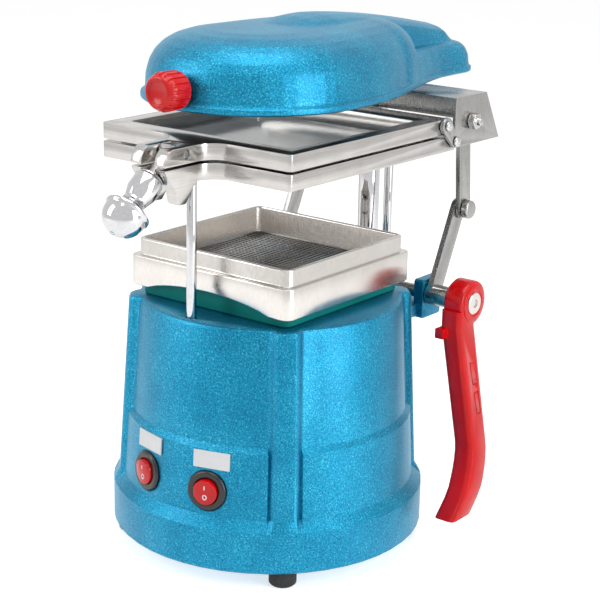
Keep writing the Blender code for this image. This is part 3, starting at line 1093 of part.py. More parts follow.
heater_top = HEAD_RIM_Z + HEATER_RECESS_DEPTH - GAP
heater_plate = rod("heater_plate", (HEAD_CENTRE_X, HEAD_CENTRE_Y, heater_top - HEATER_THICKNESS),
                   (HEAD_CENTRE_X, HEAD_CENTRE_Y, heater_top), HEATER_RECESS_RADIUS - PIN_CLEARANCE, HEATER,
                   head_axis)


def fluted_ring(radius, y):
    points = []
    count = HEAD_KNOB_FLUTES * 4
    for i in range(count):
        angle = 2 * math.pi * i / count
        cut = HEAD_KNOB_FLUTE_DEPTH if i % 4 == 2 else 0.0
        points.append(((radius - cut) * math.cos(angle), y, HEAD_KNOB_Z + (radius - cut) * math.sin(angle)))
    return points


knob_rear_y = HEAD_FRONT_Y - HEAD_BEAD - GAP
knob_front_y = knob_rear_y - HEAD_KNOB_LENGTH
knob_face_radius = HEAD_KNOB_RADIUS - HEAD_KNOB_TAPER
head_knob = loft("head_knob", [
    fluted_ring(HEAD_KNOB_RADIUS - HEAD_KNOB_EDGE, knob_rear_y),
    fluted_ring(HEAD_KNOB_RADIUS, knob_rear_y - HEAD_KNOB_EDGE),
    fluted_ring(knob_face_radius, knob_front_y + HEAD_KNOB_ROUND),
    fluted_ring(knob_face_radius - HEAD_KNOB_ROUND / 3, knob_front_y + HEAD_KNOB_ROUND / 4),
    fluted_ring(knob_face_radius - HEAD_KNOB_ROUND, knob_front_y),
], RED, head_axis, head_shift)
knob_stud = rod("knob_stud", (HEAD_CENTRE_X, knob_rear_y - HEAD_KNOB_STUD_RADIUS, HEAD_KNOB_Z),
                (HEAD_CENTRE_X, HEAD_FRONT_Y + HEAD_KNOB_STUD_LENGTH, HEAD_KNOB_Z), HEAD_KNOB_STUD_RADIUS,
                None, head_axis, SMALL_STEPS)
combine(head_knob, knob_stud, "UNION")


# Switches, set square to the belt's sloping wall, and the cable gland

wall_slope = math.atan((BODY_RADIUS_LOW - BODY_RADIUS_HIGH) / (DECK_HEIGHT - BODY_BOTTOM))


def wall_frame(angle, height):
    # Origin on the belt's face; local Z points out of the wall and local X along it
    outward = Vector((math.sin(angle), -math.cos(angle), 0.0))
    normal = outward * math.cos(wall_slope) + Vector((0, 0, math.sin(wall_slope)))
    sideways = Vector((math.cos(angle), math.sin(angle), 0.0))
    up = normal.cross(sideways)
    point = outward * (body_radius(height) + BELT_RISE)
    point.z = height
    frame = Matrix((sideways, up, normal)).transposed().to_4x4()
    return Matrix.Translation(point) @ frame, point, normal


def rocker_rings():
    # A round rocker whose front is two faces that meet in a shallow valley
    rings = []
    steps = 24
    rise = ROCKER_RADIUS * math.tan(ROCKER_TILT)
    for z in (-ROCKER_THICKNESS, 0.0):
        ring = []
        for i in range(steps):
            angle = 2 * math.pi * i / steps
            x = ROCKER_RADIUS * math.cos(angle)
            y = ROCKER_RADIUS * math.sin(angle)
            lift = rise * abs(y) / ROCKER_RADIUS if z == 0.0 else 0.0
            ring.append((x, y, z + lift))
        rings.append(ring)
    return rings


rocker_pivots = {}
for name, side in (("heat", 1), ("vacuum", -1)):
    frame_matrix, point, normal = wall_frame(side * SWITCH_HALF_ANGLE, SWITCH_HEIGHT)
    seat = point - normal * BEZEL_SEAT_SINK
    seat_cut = rod("bezel_seat_" + name, seat, seat + normal * BEZEL_BODY_DEPTH, BEZEL_RADIUS + GAP, None, machine)
    body_cut = rod("bezel_hole_" + name, seat - normal * (BEZEL_BODY_DEPTH + GAP), seat + normal * BEZEL_FLANGE,
                   BEZEL_BODY_RADIUS + GAP, None, machine)
    combine(housing, seat_cut)
    combine(housing, body_cut)
    pocket = ROCKER_RADIUS + ROCKER_PLAY
    top = BEZEL_FLANGE
    profile = [(0.0, top - ROCKER_POCKET_DEPTH), (pocket, top - ROCKER_POCKET_DEPTH), (pocket, top),
               (BEZEL_RADIUS - BEZEL_EDGE, top), (BEZEL_RADIUS, top - BEZEL_EDGE), (BEZEL_RADIUS, 0.0),
               (BEZEL_BODY_RADIUS, 0.0), (BEZEL_BODY_RADIUS, -BEZEL_BODY_DEPTH), (0.0, -BEZEL_BODY_DEPTH)]
    turned("switch_bezel_" + name, profile, seat + normal * GAP, normal, BLACK, machine)
    pivot_point = seat + normal * (GAP + top + ROCKER_PROUD - ROCKER_THICKNESS / 2)
    rocker_pivots[name] = pivot_point
    axis_empty = pivot("rocker_axis_" + name, machine, pivot_point)
    rocker_matrix = Matrix.Translation(pivot_point) @ frame_matrix.to_3x3().to_4x4()
    rocker_matrix = rocker_matrix @ Matrix.Rotation(ROCKER_TILT, 4, "X")
    rocker_matrix = rocker_matrix @ Matrix.Translation((0, 0, ROCKER_THICKNESS / 2 - ROCKER_SINK))
    loft("rocker_" + name, rocker_rings(), RED, axis_empty, rocker_matrix)

_, gland_point, gland_normal = wall_frame(GLAND_ANGLE, GLAND_HEIGHT)
gland_start = gland_point - gland_normal * GLAND_SEAT_SINK
gland_seat = rod("gland_seat", gland_start, gland_point + gland_normal * GLAND_SINK, GLAND_RADIUS + GAP, None,
                 machine, SMALL_STEPS)
gland_hole = rod("gland_hole", gland_start - gland_normal * (GLAND_SINK + GAP), gland_point,
                 GLAND_NOSE_RADIUS + GAP, None, machine, SMALL_STEPS)
combine(housing, gland_seat)
combine(housing, gland_hole)
gland_profile = [(0.0, 0.0), (GLAND_BORE_RADIUS, 0.0), (GLAND_BORE_RADIUS, GLAND_FLANGE + GLAND_NOSE_LENGTH),
                 (GLAND_NOSE_RADIUS - GLAND_EDGE, GLAND_FLANGE + GLAND_NOSE_LENGTH),
                 (GLAND_NOSE_RADIUS, GLAND_FLANGE), (GLAND_RADIUS - GLAND_EDGE, GLAND_FLANGE),
                 (GLAND_RADIUS, GLAND_FLANGE - GLAND_EDGE), (GLAND_RADIUS, 0.0),
                 (GLAND_NOSE_RADIUS, 0.0), (GLAND_NOSE_RADIUS, -GLAND_SINK), (0.0, -GLAND_SINK)]
turned("cable_gland", gland_profile, gland_start + gland_normal * GAP, gland_normal, BLACK, machine, SMALL_STEPS)
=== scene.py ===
import json
import math
import bpy
from mathutils import Matrix, Vector


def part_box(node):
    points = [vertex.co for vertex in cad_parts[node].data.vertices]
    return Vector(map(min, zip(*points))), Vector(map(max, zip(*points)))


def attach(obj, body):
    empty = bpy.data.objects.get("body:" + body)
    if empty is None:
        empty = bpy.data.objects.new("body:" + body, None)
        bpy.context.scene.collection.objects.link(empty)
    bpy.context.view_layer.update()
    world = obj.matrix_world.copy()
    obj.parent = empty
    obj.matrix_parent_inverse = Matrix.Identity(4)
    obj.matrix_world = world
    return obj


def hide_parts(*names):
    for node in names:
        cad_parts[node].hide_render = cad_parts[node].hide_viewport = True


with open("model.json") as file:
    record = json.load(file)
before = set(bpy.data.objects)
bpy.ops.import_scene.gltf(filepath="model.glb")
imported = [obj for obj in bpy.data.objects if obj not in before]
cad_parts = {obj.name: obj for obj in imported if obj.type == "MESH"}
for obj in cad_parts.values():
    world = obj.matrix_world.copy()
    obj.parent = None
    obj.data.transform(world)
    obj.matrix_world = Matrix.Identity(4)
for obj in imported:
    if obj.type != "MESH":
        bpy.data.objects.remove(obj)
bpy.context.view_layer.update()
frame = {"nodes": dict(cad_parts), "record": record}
cad = frame["nodes"]
slotOf = {part["node"]: part["material_slot"] for part in frame["record"]["subparts"]}
bodyOf = {node: body for body, nodes in frame["record"]["behaviour"]["bodies"].items() for node in nodes}
print("frame loaded", len(cad), "nodes")

# The machine's own millimetres start on the axis of its base
baseAxis = Vector((-0.00945, -0.01086, 0.0))
mm = 0.001


def spot(x, y, z):
    return Vector((x, y, z)) * mm + baseAxis


# Node helpers for the materials

def fill(socket, value):
    socket.default_value = (*value, 1.0) if isinstance(value, tuple) and socket.type == "RGBA" else value


def addNode(tree, kind, values=None, **settings):
    node = tree.nodes.new(kind)
    for key, value in settings.items():
        setattr(node, key, value)
    for key, value in (values or {}).items():
        fill(node.inputs[key], value)
    return node


def startMaterial(name, values):
    made = bpy.data.materials.new(name)
    made.use_nodes = True
    shader = made.node_tree.nodes["Principled BSDF"]
    for key, value in values.items():
        fill(shader.inputs[key], value)
    return made, made.node_tree, shader


def objectCoordinates(tree, stretch=(1.0, 1.0, 1.0)):
    source = addNode(tree, "ShaderNodeTexCoord")
    mapping = addNode(tree, "ShaderNodeMapping", {"Scale": stretch})
    tree.links.new(source.outputs["Object"], mapping.inputs["Vector"])
    return mapping.outputs["Vector"]


def noise(tree, vector, scale, detail=3.0, rough=0.5):
    made = addNode(tree, "ShaderNodeTexNoise", {"Scale": scale, "Detail": detail, "Roughness": rough})
    tree.links.new(vector, made.inputs["Vector"])
    return made.outputs["Fac"]


def blendOf(tree, first, second, share):
    half = addNode(tree, "ShaderNodeMath", operation="MULTIPLY")
    tree.links.new(second, half.inputs[0])
    half.inputs[1].default_value = 1.0 - share
    both = addNode(tree, "ShaderNodeMath", operation="MULTIPLY_ADD")
    tree.links.new(first, both.inputs[0])
    both.inputs[1].default_value = share
    tree.links.new(half.outputs[0], both.inputs[2])
    return both.outputs[0]


def ramp(tree, value, stops):
    made = addNode(tree, "ShaderNodeValToRGB")
    bar = made.color_ramp
    while len(bar.elements) < len(stops):
        bar.elements.new(0.5)
    for element, (place, colour) in zip(bar.elements, stops):
        element.position = place
        element.color = (*colour, 1.0)
    tree.links.new(value, made.inputs["Fac"])
    return made.outputs["Color"]


def spread(tree, value, low, high, fromLow=0.3, fromHigh=0.7):
    ends = {"From Min": fromLow, "From Max": fromHigh, "To Min": low, "To Max": high}
    made = addNode(tree, "ShaderNodeMapRange", ends)
    tree.links.new(value, made.inputs["Value"])
    return made.outputs["Result"]


def bumpFrom(tree, shader, height, distance, strength=1.0, before=None):
    made = addNode(tree, "ShaderNodeBump", {"Distance": distance, "Strength": strength})
    tree.links.new(height, made.inputs["Height"])
    if before is not None:
        tree.links.new(before, made.inputs["Normal"])
    tree.links.new(made.outputs["Normal"], shader.inputs["Normal"])
    return made.outputs["Normal"]


# Finishes

bluePaint = {"grain": 1150.0, "cells": 1300.0, "clouds": 40.0, "pit": 0.00014, "wave": 0.00016}


def hammertone():
    values = {"Metallic": 0.86, "Coat Weight": 0.2, "Coat Roughness": 0.3}
    made, tree, shader = startMaterial("blueHammertone", values)
    vector = objectCoordinates(tree)
    cells = addNode(tree, "ShaderNodeTexVoronoi", {"Scale": bluePaint["cells"]}, feature="SMOOTH_F1")
    tree.links.new(vector, cells.inputs["Vector"])
    fine = noise(tree, vector, bluePaint["grain"], 4.0, 0.65)
    broad = noise(tree, vector, bluePaint["clouds"], 3.0)
    mixed = blendOf(tree, fine, broad, 0.85)
    colour = ramp(tree, mixed, [(0.35, (0.0, 0.10, 0.19)), (0.48, (0.0, 0.20, 0.36)),
                                (0.57, (0.004, 0.28, 0.45)), (0.68, (0.11, 0.48, 0.60))])
    tree.links.new(colour, shader.inputs["Base Color"])
    tree.links.new(spread(tree, fine, 0.38, 0.52), shader.inputs["Roughness"])
    pits = bumpFrom(tree, shader, cells.outputs["Distance"], bluePaint["pit"], 0.4)
    bumpFrom(tree, shader, fine, bluePaint["wave"], 0.55, pits)
    return made


def redPlastic():
    made, tree, shader = startMaterial("redPlastic", {"IOR": 1.4})
    vector = objectCoordinates(tree)
    broad = noise(tree, vector, 60.0)
    fine = noise(tree, vector, 900.0, 2.0)
    colour = ramp(tree, broad, [(0.35, (0.56, 0.0, 0.001)), (0.65, (0.66, 0.001, 0.003))])
    tree.links.new(colour, shader.inputs["Base Color"])
    tree.links.new(spread(tree, fine, 0.12, 0.2), shader.inputs["Roughness"])
    bumpFrom(tree, shader, fine, 0.00002, 0.5)
    return made


def metal(name, dark, light, rough, stretch, grain=0.00002, scale=1.0, cloudShare=0.4):
    made, tree, shader = startMaterial(name, {"Metallic": 1.0})
    lines = noise(tree, objectCoordinates(tree, stretch), 700.0 * scale, 4.0, 0.6)
    cloud = noise(tree, objectCoordinates(tree), 70.0, 4.0, 0.6)
    both = blendOf(tree, lines, cloud, 1.0 - cloudShare)
    tree.links.new(ramp(tree, both, [(0.36, dark), (0.62, light)]), shader.inputs["Base Color"])
    tree.links.new(spread(tree, lines, rough * 0.9, rough * 1.12), shader.inputs["Roughness"])
    bumpFrom(tree, shader, lines, grain, 0.6)
    return made


def plainGrain(name, dark, light, rough, values, cell=800.0, depth=0.00003):
    made, tree, shader = startMaterial(name, values)
    vector = objectCoordinates(tree)
    fine = noise(tree, vector, cell, 3.0, 0.6)
    tree.links.new(ramp(tree, noise(tree, vector, 50.0), [(0.35, dark), (0.65, light)]), shader.inputs["Base Color"])
    tree.links.new(spread(tree, fine, rough * 0.85, rough * 1.15), shader.inputs["Roughness"])
    bumpFrom(tree, shader, fine, depth, 0.5)
    return made


looks = {
    "blue_hammertone": hammertone(),
    "red_plastic": redPlastic(),
    "brushed_steel": metal("brushedSteel", (0.43, 0.417, 0.40), (0.53, 0.513, 0.492), 0.2, (0.04, 0.04, 2.2), 0.000004),
    "dark_steel": metal("darkSteel", (0.32, 0.317, 0.31), (0.40, 0.395, 0.385), 0.28, (1.5, 1.5, 0.3)),
    "chrome": metal("chromePlate", (0.50, 0.50, 0.51), (0.58, 0.58, 0.59), 0.04, (1.0, 1.0, 1.0), 0.000002),
    "cast_aluminium": metal("castAluminium", (0.58, 0.55, 0.52), (0.66, 0.63, 0.595), 0.24, (1.5, 1.5, 0.5), 0.0000012),
    "teal_rubber": plainGrain("tealRubber", (0.0, 0.17, 0.145), (0.0, 0.22, 0.19), 0.6, {"IOR": 1.3}),
    "black_plastic": plainGrain("blackPlastic", (0.008, 0.008, 0.009), (0.016, 0.016, 0.017), 0.25, {"IOR": 1.5}),
    "black_rubber": plainGrain("blackRubber", (0.010, 0.010, 0.010), (0.02, 0.02, 0.02), 0.7, {"IOR": 1.5}),
    "white_sheet": plainGrain("whiteSheet", (0.80, 0.81, 0.82), (0.86, 0.87, 0.88), 0.12,
                              {"IOR": 1.55, "Transmission Weight": 0.3}, 300.0, 0.00001),
    "heater_iron": plainGrain("heaterIron", (0.07, 0.065, 0.06), (0.13, 0.12, 0.11), 0.6, {"Metallic": 0.6}),
    "wireSteel": metal("wireSteel", (0.50, 0.49, 0.47), (0.76, 0.75, 0.73), 0.25, (1.0, 1.0, 1.0)),
    "plateSilver": plainGrain("plateSilver", (0.60, 0.61, 0.62), (0.68, 0.69, 0.70), 0.4, {"Metallic": 0.25}),
    # near-black: painted shade for the tray floor seen through the wire mesh
    "darkFloor": plainGrain("darkFloor", (0.003, 0.003, 0.003), (0.009, 0.008, 0.008), 0.9, {"IOR": 1.3}),
    "whiteMark": plainGrain("whiteMark", (0.74, 0.74, 0.74), (0.82, 0.82, 0.82), 0.4, {"IOR": 1.5}),
}

for node, slotName in slotOf.items():
    mesh = cad[node].data
    mesh.materials.clear()
    mesh.materials.append(looks[slotName])
print("materials made", len(looks))


# Modelling helpers

def activate(piece):
    bpy.ops.object.select_all(action="DESELECT")
    piece.select_set(True)
    bpy.context.view_layer.objects.active = piece


def editing(on):
    bpy.ops.object.mode_set(mode="EDIT" if on else "OBJECT")


def modify(piece, kind, **settings):
    activate(piece)
    change = piece.modifiers.new(kind.lower(), kind)
    for key, value in settings.items():
        setattr(change, key, value)
    bpy.ops.object.modifier_apply(modifier=change.name)


def shade(piece, angle=34.0):
    activate(piece)
    bpy.ops.object.shade_smooth_by_angle(angle=math.radians(angle))


def finishPiece(piece, name, look, body, hides=(), smooth=34.0):
    activate(piece)
    bpy.ops.object.transform_apply(location=True, rotation=True, scale=True)
    shade(piece, smooth)
    piece.name = name
    piece.data.name = name
    piece.data.materials.clear()
    piece.data.materials.append(looks[look])
    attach(piece, body)
    if hides:
        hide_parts(*hides)
    return piece


def copyOfNode(node):
    piece = bpy.data.objects.new(node + "Copy", cad[node].data.copy())
    bpy.context.scene.collection.objects.link(piece)
    activate(piece)
    editing(True)
    bpy.ops.mesh.select_all(action="SELECT")
    bpy.ops.mesh.remove_doubles(threshold=0.000004)
    bpy.ops.mesh.dissolve_limited(angle_limit=math.radians(0.6))
    editing(False)
    return piece


def bevelEdges(piece, width, segments, angle=28.0):
    modify(piece, "BEVEL", width=width, segments=segments, limit_method="ANGLE",
           angle_limit=math.radians(angle), profile=0.5, use_clamp_overlap=True)


def turned(rows, steps, place, direction):
    # Drawn up ring by ring from a disc, then set with its axis along the direction
    radius, height = rows[0]
    bpy.ops.object.select_all(action="DESELECT")
    bpy.ops.mesh.primitive_circle_add(vertices=steps, radius=radius, fill_type="NGON", location=(0.0, 0.0, height))
    piece = bpy.context.object
    bpy.ops.object.transform_apply(location=True)
    editing(True)
    bpy.ops.mesh.select_all(action="SELECT")
    for nextRadius, nextHeight in rows[1:]:
        bpy.ops.mesh.extrude_region_move(TRANSFORM_OT_translate={"value": (0.0, 0.0, nextHeight - height)})
        ratio = nextRadius / radius
        bpy.ops.transform.resize(value=(ratio, ratio, 1.0), center_override=(0.0, 0.0, nextHeight))
        radius, height = nextRadius, nextHeight
    bpy.ops.mesh.select_all(action="SELECT")
    bpy.ops.mesh.normals_make_consistent(inside=False)
    editing(False)
    facing = Vector(direction).normalized().to_track_quat("Z", "Y").to_matrix().to_4x4()
    piece.matrix_world = Matrix.Translation(place) @ facing
    bpy.ops.object.transform_apply(location=True, rotation=True)
    return piece


def block(low, high):
    bpy.ops.object.select_all(action="DESELECT")
    middle = (Vector(low) + Vector(high)) / 2
    bpy.ops.mesh.primitive_cube_add(size=1.0, location=middle)
    piece = bpy.context.object
    piece.scale = Vector(high) - Vector(low)
    bpy.ops.object.transform_apply(location=True, rotation=True, scale=True)
    return piece


def carve(piece, cutter):
    modify(piece, "BOOLEAN", operation="DIFFERENCE", object=cutter, solver="EXACT")
    bpy.data.objects.remove(cutter)


# CAD shapes that only need softer edges: widths in millimetres and the steps across each edge

softEdges = {
    "base_housing": (0.9, 3), "gasket": (0.8, 3), "vacuum_tray": (0.9, 3),
    "lower_plate": (0.5, 2), "upper_plate": (0.5, 2), "rear_bracket": (0.35, 2), "guide_bush": (0.4, 2),
    "crank_right": (0.4, 2), "crank_left": (0.4, 2), "upper_link_right": (0.4, 2), "upper_link_left": (0.4, 2),
    "pivot_bolt_right": (0.3, 2), "pivot_bolt_left": (0.3, 2), "link_stud_right": (0.3, 2),
    "link_stud_left": (0.3, 2), "hinge_screw_right": (0.25, 2), "hinge_screw_left": (0.25, 2),
    "fixing_screw_right": (0.25, 2), "fixing_screw_left": (0.25, 2), "clamp_knob": (0.35, 2),
    "swing_bolt": (0.3, 2), "clamp_pin": (0.25, 2), "lever_handle": (0.7, 3),
    "switch_bezel_heat": (0.35, 2), "switch_bezel_vacuum": (0.35, 2), "rocker_heat": (0.35, 2),
    "rocker_vacuum": (0.35, 2), "foot_front_right": (0.5, 2), "foot_front_left": (0.5, 2),
    "foot_rear_right": (0.5, 2), "foot_rear_left": (0.5, 2), "cable_gland": (0.3, 2),
    "head_post": (0.3, 2), "guide_rod_front": (0.3, 2), "guide_rod_rear": (0.3, 2), "crank_shaft": (0.3, 2),
    "plastic_sheet": (0.1, 1), "heater_plate": (0.4, 2), "tray_mesh": (0.1, 1),
}
softened = {}
for node, (width, segments) in softEdges.items():
    piece = copyOfNode(node)
    bevelEdges(piece, width * mm, segments)
    words = node.split("_")
    name = words[0] + "".join(word.title() for word in words[1:]) + "Finished"
    # the tray floor under the wire mesh gets a near-black colour, painted shade seen through the wires
    look = "darkFloor" if node == "tray_mesh" else slotOf[node]
    softened[node] = finishPiece(piece, name, look, bodyOf[node], [node])
print("edges softened on", len(softEdges), "nodes")


# Cross recesses in the bracket's screw heads

crossCut = {"arm": 2.0, "width": 0.7, "depth": 1.0}
for node in ("hinge_screw_right", "fixing_screw_right", "hinge_screw_left", "fixing_screw_left"):
    low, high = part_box(node)
    face = high[0] if "right" in node else low[0]
    y, z = (low[1] + high[1]) / 2, (low[2] + high[2]) / 2
    for across, along in ((crossCut["arm"], crossCut["width"]), (crossCut["width"], crossCut["arm"])):
        reach = Vector((crossCut["depth"], across, along)) * mm
        middle = Vector((face, y, z))
        carve(softened[node], block(middle - reach / 2, middle + reach / 2))
    shade(softened[node])
print("screw heads cut")


# Two shallow frames are pressed into the lever's outer face

frames = {"levels": (103.0, 85.0), "y": 76.5, "length": 14.0, "width": 4.8, "line": 0.7, "depth": 0.5}
arm = softened["lever_handle"]
for level in frames["levels"]:
    hit, place, normal, index = arm.ray_cast(spot(150.0, frames["y"], level), (-1.0, 0.0, 0.0))
    sideways = Vector((0.0, 0.0, 1.0)).cross(normal).normalized()
    half = Vector((frames["width"], frames["length"], 2 * frames["depth"])) * mm / 2
    line = Vector((frames["line"], frames["line"], -frames["depth"])) * mm
    outer = block(-half, half)
    carve(outer, block(line - half, half - line))
    outer.matrix_world = (Matrix.Translation(place)
                          @ Matrix((sideways, normal.cross(sideways), normal)).transposed().to_4x4())
    carve(arm, outer)
shade(arm)
print("lever frames pressed")


# Heater head: the dome, spine and lobe run into each other softly over a crisp rim

headShape = {"rimBottom": 274.0, "bandTop": 277.4, "voxel": 1.05, "passes": 7, "lip": 0.5,
             "domeOver": 1.2, "post": (0.0, 99.0, 0.0), "clearPost": 14.0,
             "recess": (2.0, -18.0, 0.0), "clearRecess": 59.5}


def cutLevel(piece, height, keepUpper):
    activate(piece)
    editing(True)
    bpy.ops.mesh.select_all(action="SELECT")
    bpy.ops.mesh.bisect(plane_co=(0.0, 0.0, height * mm), plane_no=(0.0, 0.0, 1.0), use_fill=True,
                        clear_inner=keepUpper, clear_outer=not keepUpper)
    editing(False)


dome = copyOfNode("heater_head")
modify(dome, "REMESH", mode="VOXEL", voxel_size=headShape["voxel"] * mm, use_smooth_shade=True)
modify(dome, "SMOOTH", factor=0.5, iterations=headShape["passes"])
cutLevel(dome, headShape["rimBottom"] + headShape["domeOver"], True)
finishPiece(dome, "headDome", "blue_hammertone", "head", ["heater_head"], 60.0)
band = copyOfNode("heater_head")
cutLevel(band, headShape["bandTop"], False)
# Only the outside of the rim stands out, not the post's bore or the heater's recess
lip = band.vertex_groups.new(name="lip")
postAxis, recessAxis = spot(*headShape["post"]), spot(*headShape["recess"])
for vertex in band.data.vertices:
    fromPost = (vertex.co - postAxis).xy.length / mm
    fromRecess = (vertex.co - recessAxis).xy.length / mm
    if fromPost > headShape["clearPost"] and fromRecess > headShape["clearRecess"]:
        lip.add([vertex.index], 1.0, "REPLACE")
modify(band, "DISPLACE", strength=headShape["lip"] * mm, mid_level=0.0, vertex_group="lip")
bevelEdges(band, 0.5 * mm, 2)
finishPiece(band, "headRim", "blue_hammertone", "head", ["heater_head"])
print("head dome", len(dome.data.polygons), "faces")


# Head knob: a turned grip with ribs between deep flutes, and a dished face

grip = {"length": 17.0, "ribs": 18, "flute": 0.9, "columns": 4}
low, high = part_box("head_knob")
knobStart = Vector(((low[0] + high[0]) / 2, high[1], (low[2] + high[2]) / 2))
knobLength = (high[1] - low[1]) / mm
gripStart = knobLength - grip["length"]
rows = [(4.0, 0.0), (4.0, gripStart - 0.01), (9.4, gripStart), (10.4, gripStart + 0.9), (10.8, gripStart + 2.2),
        (11.0, gripStart + 12.4), (10.6, gripStart + 13.4), (9.6, gripStart + 15.6), (8.6, knobLength - 0.15),
        (7.9, knobLength), (6.6, knobLength), (6.2, knobLength - 0.7), (0.4, knobLength - 0.7)]
steps = grip["ribs"] * grip["columns"]
headKnob = turned([(r * mm, h * mm) for r, h in rows], steps, knobStart, (0.0, -1.0, 0.0))
activate(headKnob)
editing(True)
bpy.ops.mesh.select_all(action="DESELECT")
bpy.ops.mesh.select_mode(type="FACE")
editing(False)
for face in headKnob.data.polygons:
    outward = face.center - knobStart
    along = -outward.y / mm
    bearing = math.degrees(math.atan2(outward.x, outward.z)) % 360.0
    column = int(bearing / (360.0 / steps)) % grip["columns"]
    inGrip = gripStart + 0.95 < along < gripStart + 15.5 and math.hypot(outward.x, outward.z) > 9.0 * mm
    face.select = column < 2 and inGrip
editing(True)
bpy.ops.mesh.inset(thickness=0.0002, depth=-grip["flute"] * mm, use_boundary=True)
bpy.ops.mesh.select_all(action="SELECT")
bpy.ops.mesh.normals_make_consistent(inside=False)
editing(False)
bevelEdges(headKnob, 0.15 * mm, 1)
finishPiece(headKnob, "headKnobGrip", "red_plastic", "head", ["head_knob"], 40.0)
print("head knob fluted")


# Lever hub: a raised ring round a cap with a hex socket, finished as cast aluminium

hub = {"x": 92.4, "y": 83.5, "z": 145.0, "outer": 11.6, "inner": 8.2, "cap": 6.8, "socket": 3.0}
hubPlace = spot(hub["x"], hub["y"], hub["z"])
ring = turned([(hub["outer"] * mm, -0.6 * mm), (hub["outer"] * mm, 0.35 * mm), ((hub["outer"] - 0.4) * mm, 0.6 * mm),
               ((hub["inner"] + 0.4) * mm, 0.6 * mm), (hub["inner"] * mm, 0.3 * mm), (7.2 * mm, 0.05 * mm),
               (0.4 * mm, 0.05 * mm)], 64, hubPlace, (1.0, 0.0, 0.0))
finishPiece(ring, "leverHubRing", "red_plastic", "lever")
cap = turned([(hub["cap"] * mm, -0.2 * mm), (hub["cap"] * mm, 0.55 * mm), ((hub["cap"] - 0.5) * mm, 0.95 * mm),
              (4.4 * mm, 1.05 * mm), (0.4 * mm, 1.05 * mm)], 48, hubPlace, (1.0, 0.0, 0.0))
socket = turned([(hub["socket"] * mm, 0.0), (hub["socket"] * mm, 2.0 * mm)], 6,
                hubPlace + Vector((0.2 * mm, 0.0, 0.0)), (1.0, 0.0, 0.0))
carve(cap, socket)
finishPiece(cap, "leverCap", "cast_aluminium", "lever", ["lever_screw"])
print("lever hub finished")


# Tray floor: a woven wire mesh laid over a near-black floor plate, whose colour is painted shade seen through the mesh

weave = {"half": 54.0, "pitch": 3.0, "wire": 0.7, "flat": 0.45, "height": 171.25, "corner": 1.7}
span = weave["half"] * 2 + weave["pitch"]
cellCount = int(span / weave["pitch"])
bpy.ops.object.select_all(action="DESELECT")
bpy.ops.mesh.primitive_grid_add(x_subdivisions=cellCount, y_subdivisions=cellCount, size=span * mm,
                                location=spot(0.0, 0.0, weave["height"]))
wires = bpy.context.object
bpy.ops.object.transform_apply(location=True)
editing(True)
for side in range(8):
    angle = math.radians(45.0 * side)
    facing = Vector((math.cos(angle), math.sin(angle), 0.0))
    reach = weave["half"] if side % 2 == 0 else (2 * weave["half"] - weave["corner"]) / math.sqrt(2)
    bpy.ops.mesh.select_all(action="SELECT")
    bpy.ops.mesh.bisect(plane_co=spot(0.0, 0.0, weave["height"]) + facing * reach * mm, plane_no=facing,
                        clear_outer=True, clear_inner=False, use_fill=False)
editing(False)
modify(wires, "WIREFRAME", thickness=weave["wire"] * mm, use_even_offset=False, use_boundary=True)
activate(wires)
editing(True)
bpy.ops.mesh.select_all(action="SELECT")
bpy.ops.transform.resize(value=(1.0, 1.0, weave["flat"]), center_override=spot(0.0, 0.0, weave["height"]))
editing(False)
finishPiece(wires, "trayWireMesh", "wireSteel", "base")
print("wire mesh", len(wires.data.polygons), "faces")


# Switch plates and rocker marks on the housing wall

wallSlope = math.radians(3.39)
plates = {"heat": 16.8, "vacuum": -13.8, "width": 22.5, "height": 10.3, "level": 75.2, "thickness": 0.5,
          "margin": 0.7, "dish": 0.15}
rayReach = 0.15


def wallFrame(angle, level, node):
    # The place on a node's outer face at this angle round the base, with its own upright frame
    a = math.radians(angle)
    outward = Vector((math.sin(a) * math.cos(wallSlope), -math.cos(a) * math.cos(wallSlope), math.sin(wallSlope)))
    start = spot(0.0, 0.0, level) + Vector((outward.x, outward.y, 0.0)) * rayReach
    hit, place, normal, index = softened[node].ray_cast(start, -Vector((outward.x, outward.y, 0.0)).normalized())
    sideways = Vector((0.0, 0.0, 1.0)).cross(outward).normalized()
    axes = Matrix((sideways, outward.cross(sideways), outward)).transposed().to_4x4()
    return Matrix.Translation(place) @ axes


def labelPlate(name, angle):
    bpy.ops.object.select_all(action="DESELECT")
    bpy.ops.mesh.primitive_cube_add(size=1.0)
    piece = bpy.context.object
    piece.scale = (plates["width"] * mm, plates["height"] * mm, plates["thickness"] * 2 * mm)
    bpy.ops.object.transform_apply(scale=True)
    editing(True)
    bpy.ops.mesh.select_all(action="DESELECT")
    editing(False)
    for face in piece.data.polygons:
        face.select = face.normal.z > 0.9
    editing(True)
    bpy.ops.mesh.inset(thickness=plates["margin"] * mm, depth=0.0)
    bpy.ops.mesh.inset(thickness=plates["dish"] * mm, depth=-plates["dish"] * mm)
    editing(False)
    piece.matrix_world = wallFrame(angle, plates["level"], "base_housing")
    bevelEdges(piece, 0.12 * mm, 1)
    return finishPiece(piece, name, "plateSilver", "base")


labelPlate("switchPlateHeat", plates["heat"])
labelPlate("switchPlateVacuum", plates["vacuum"])

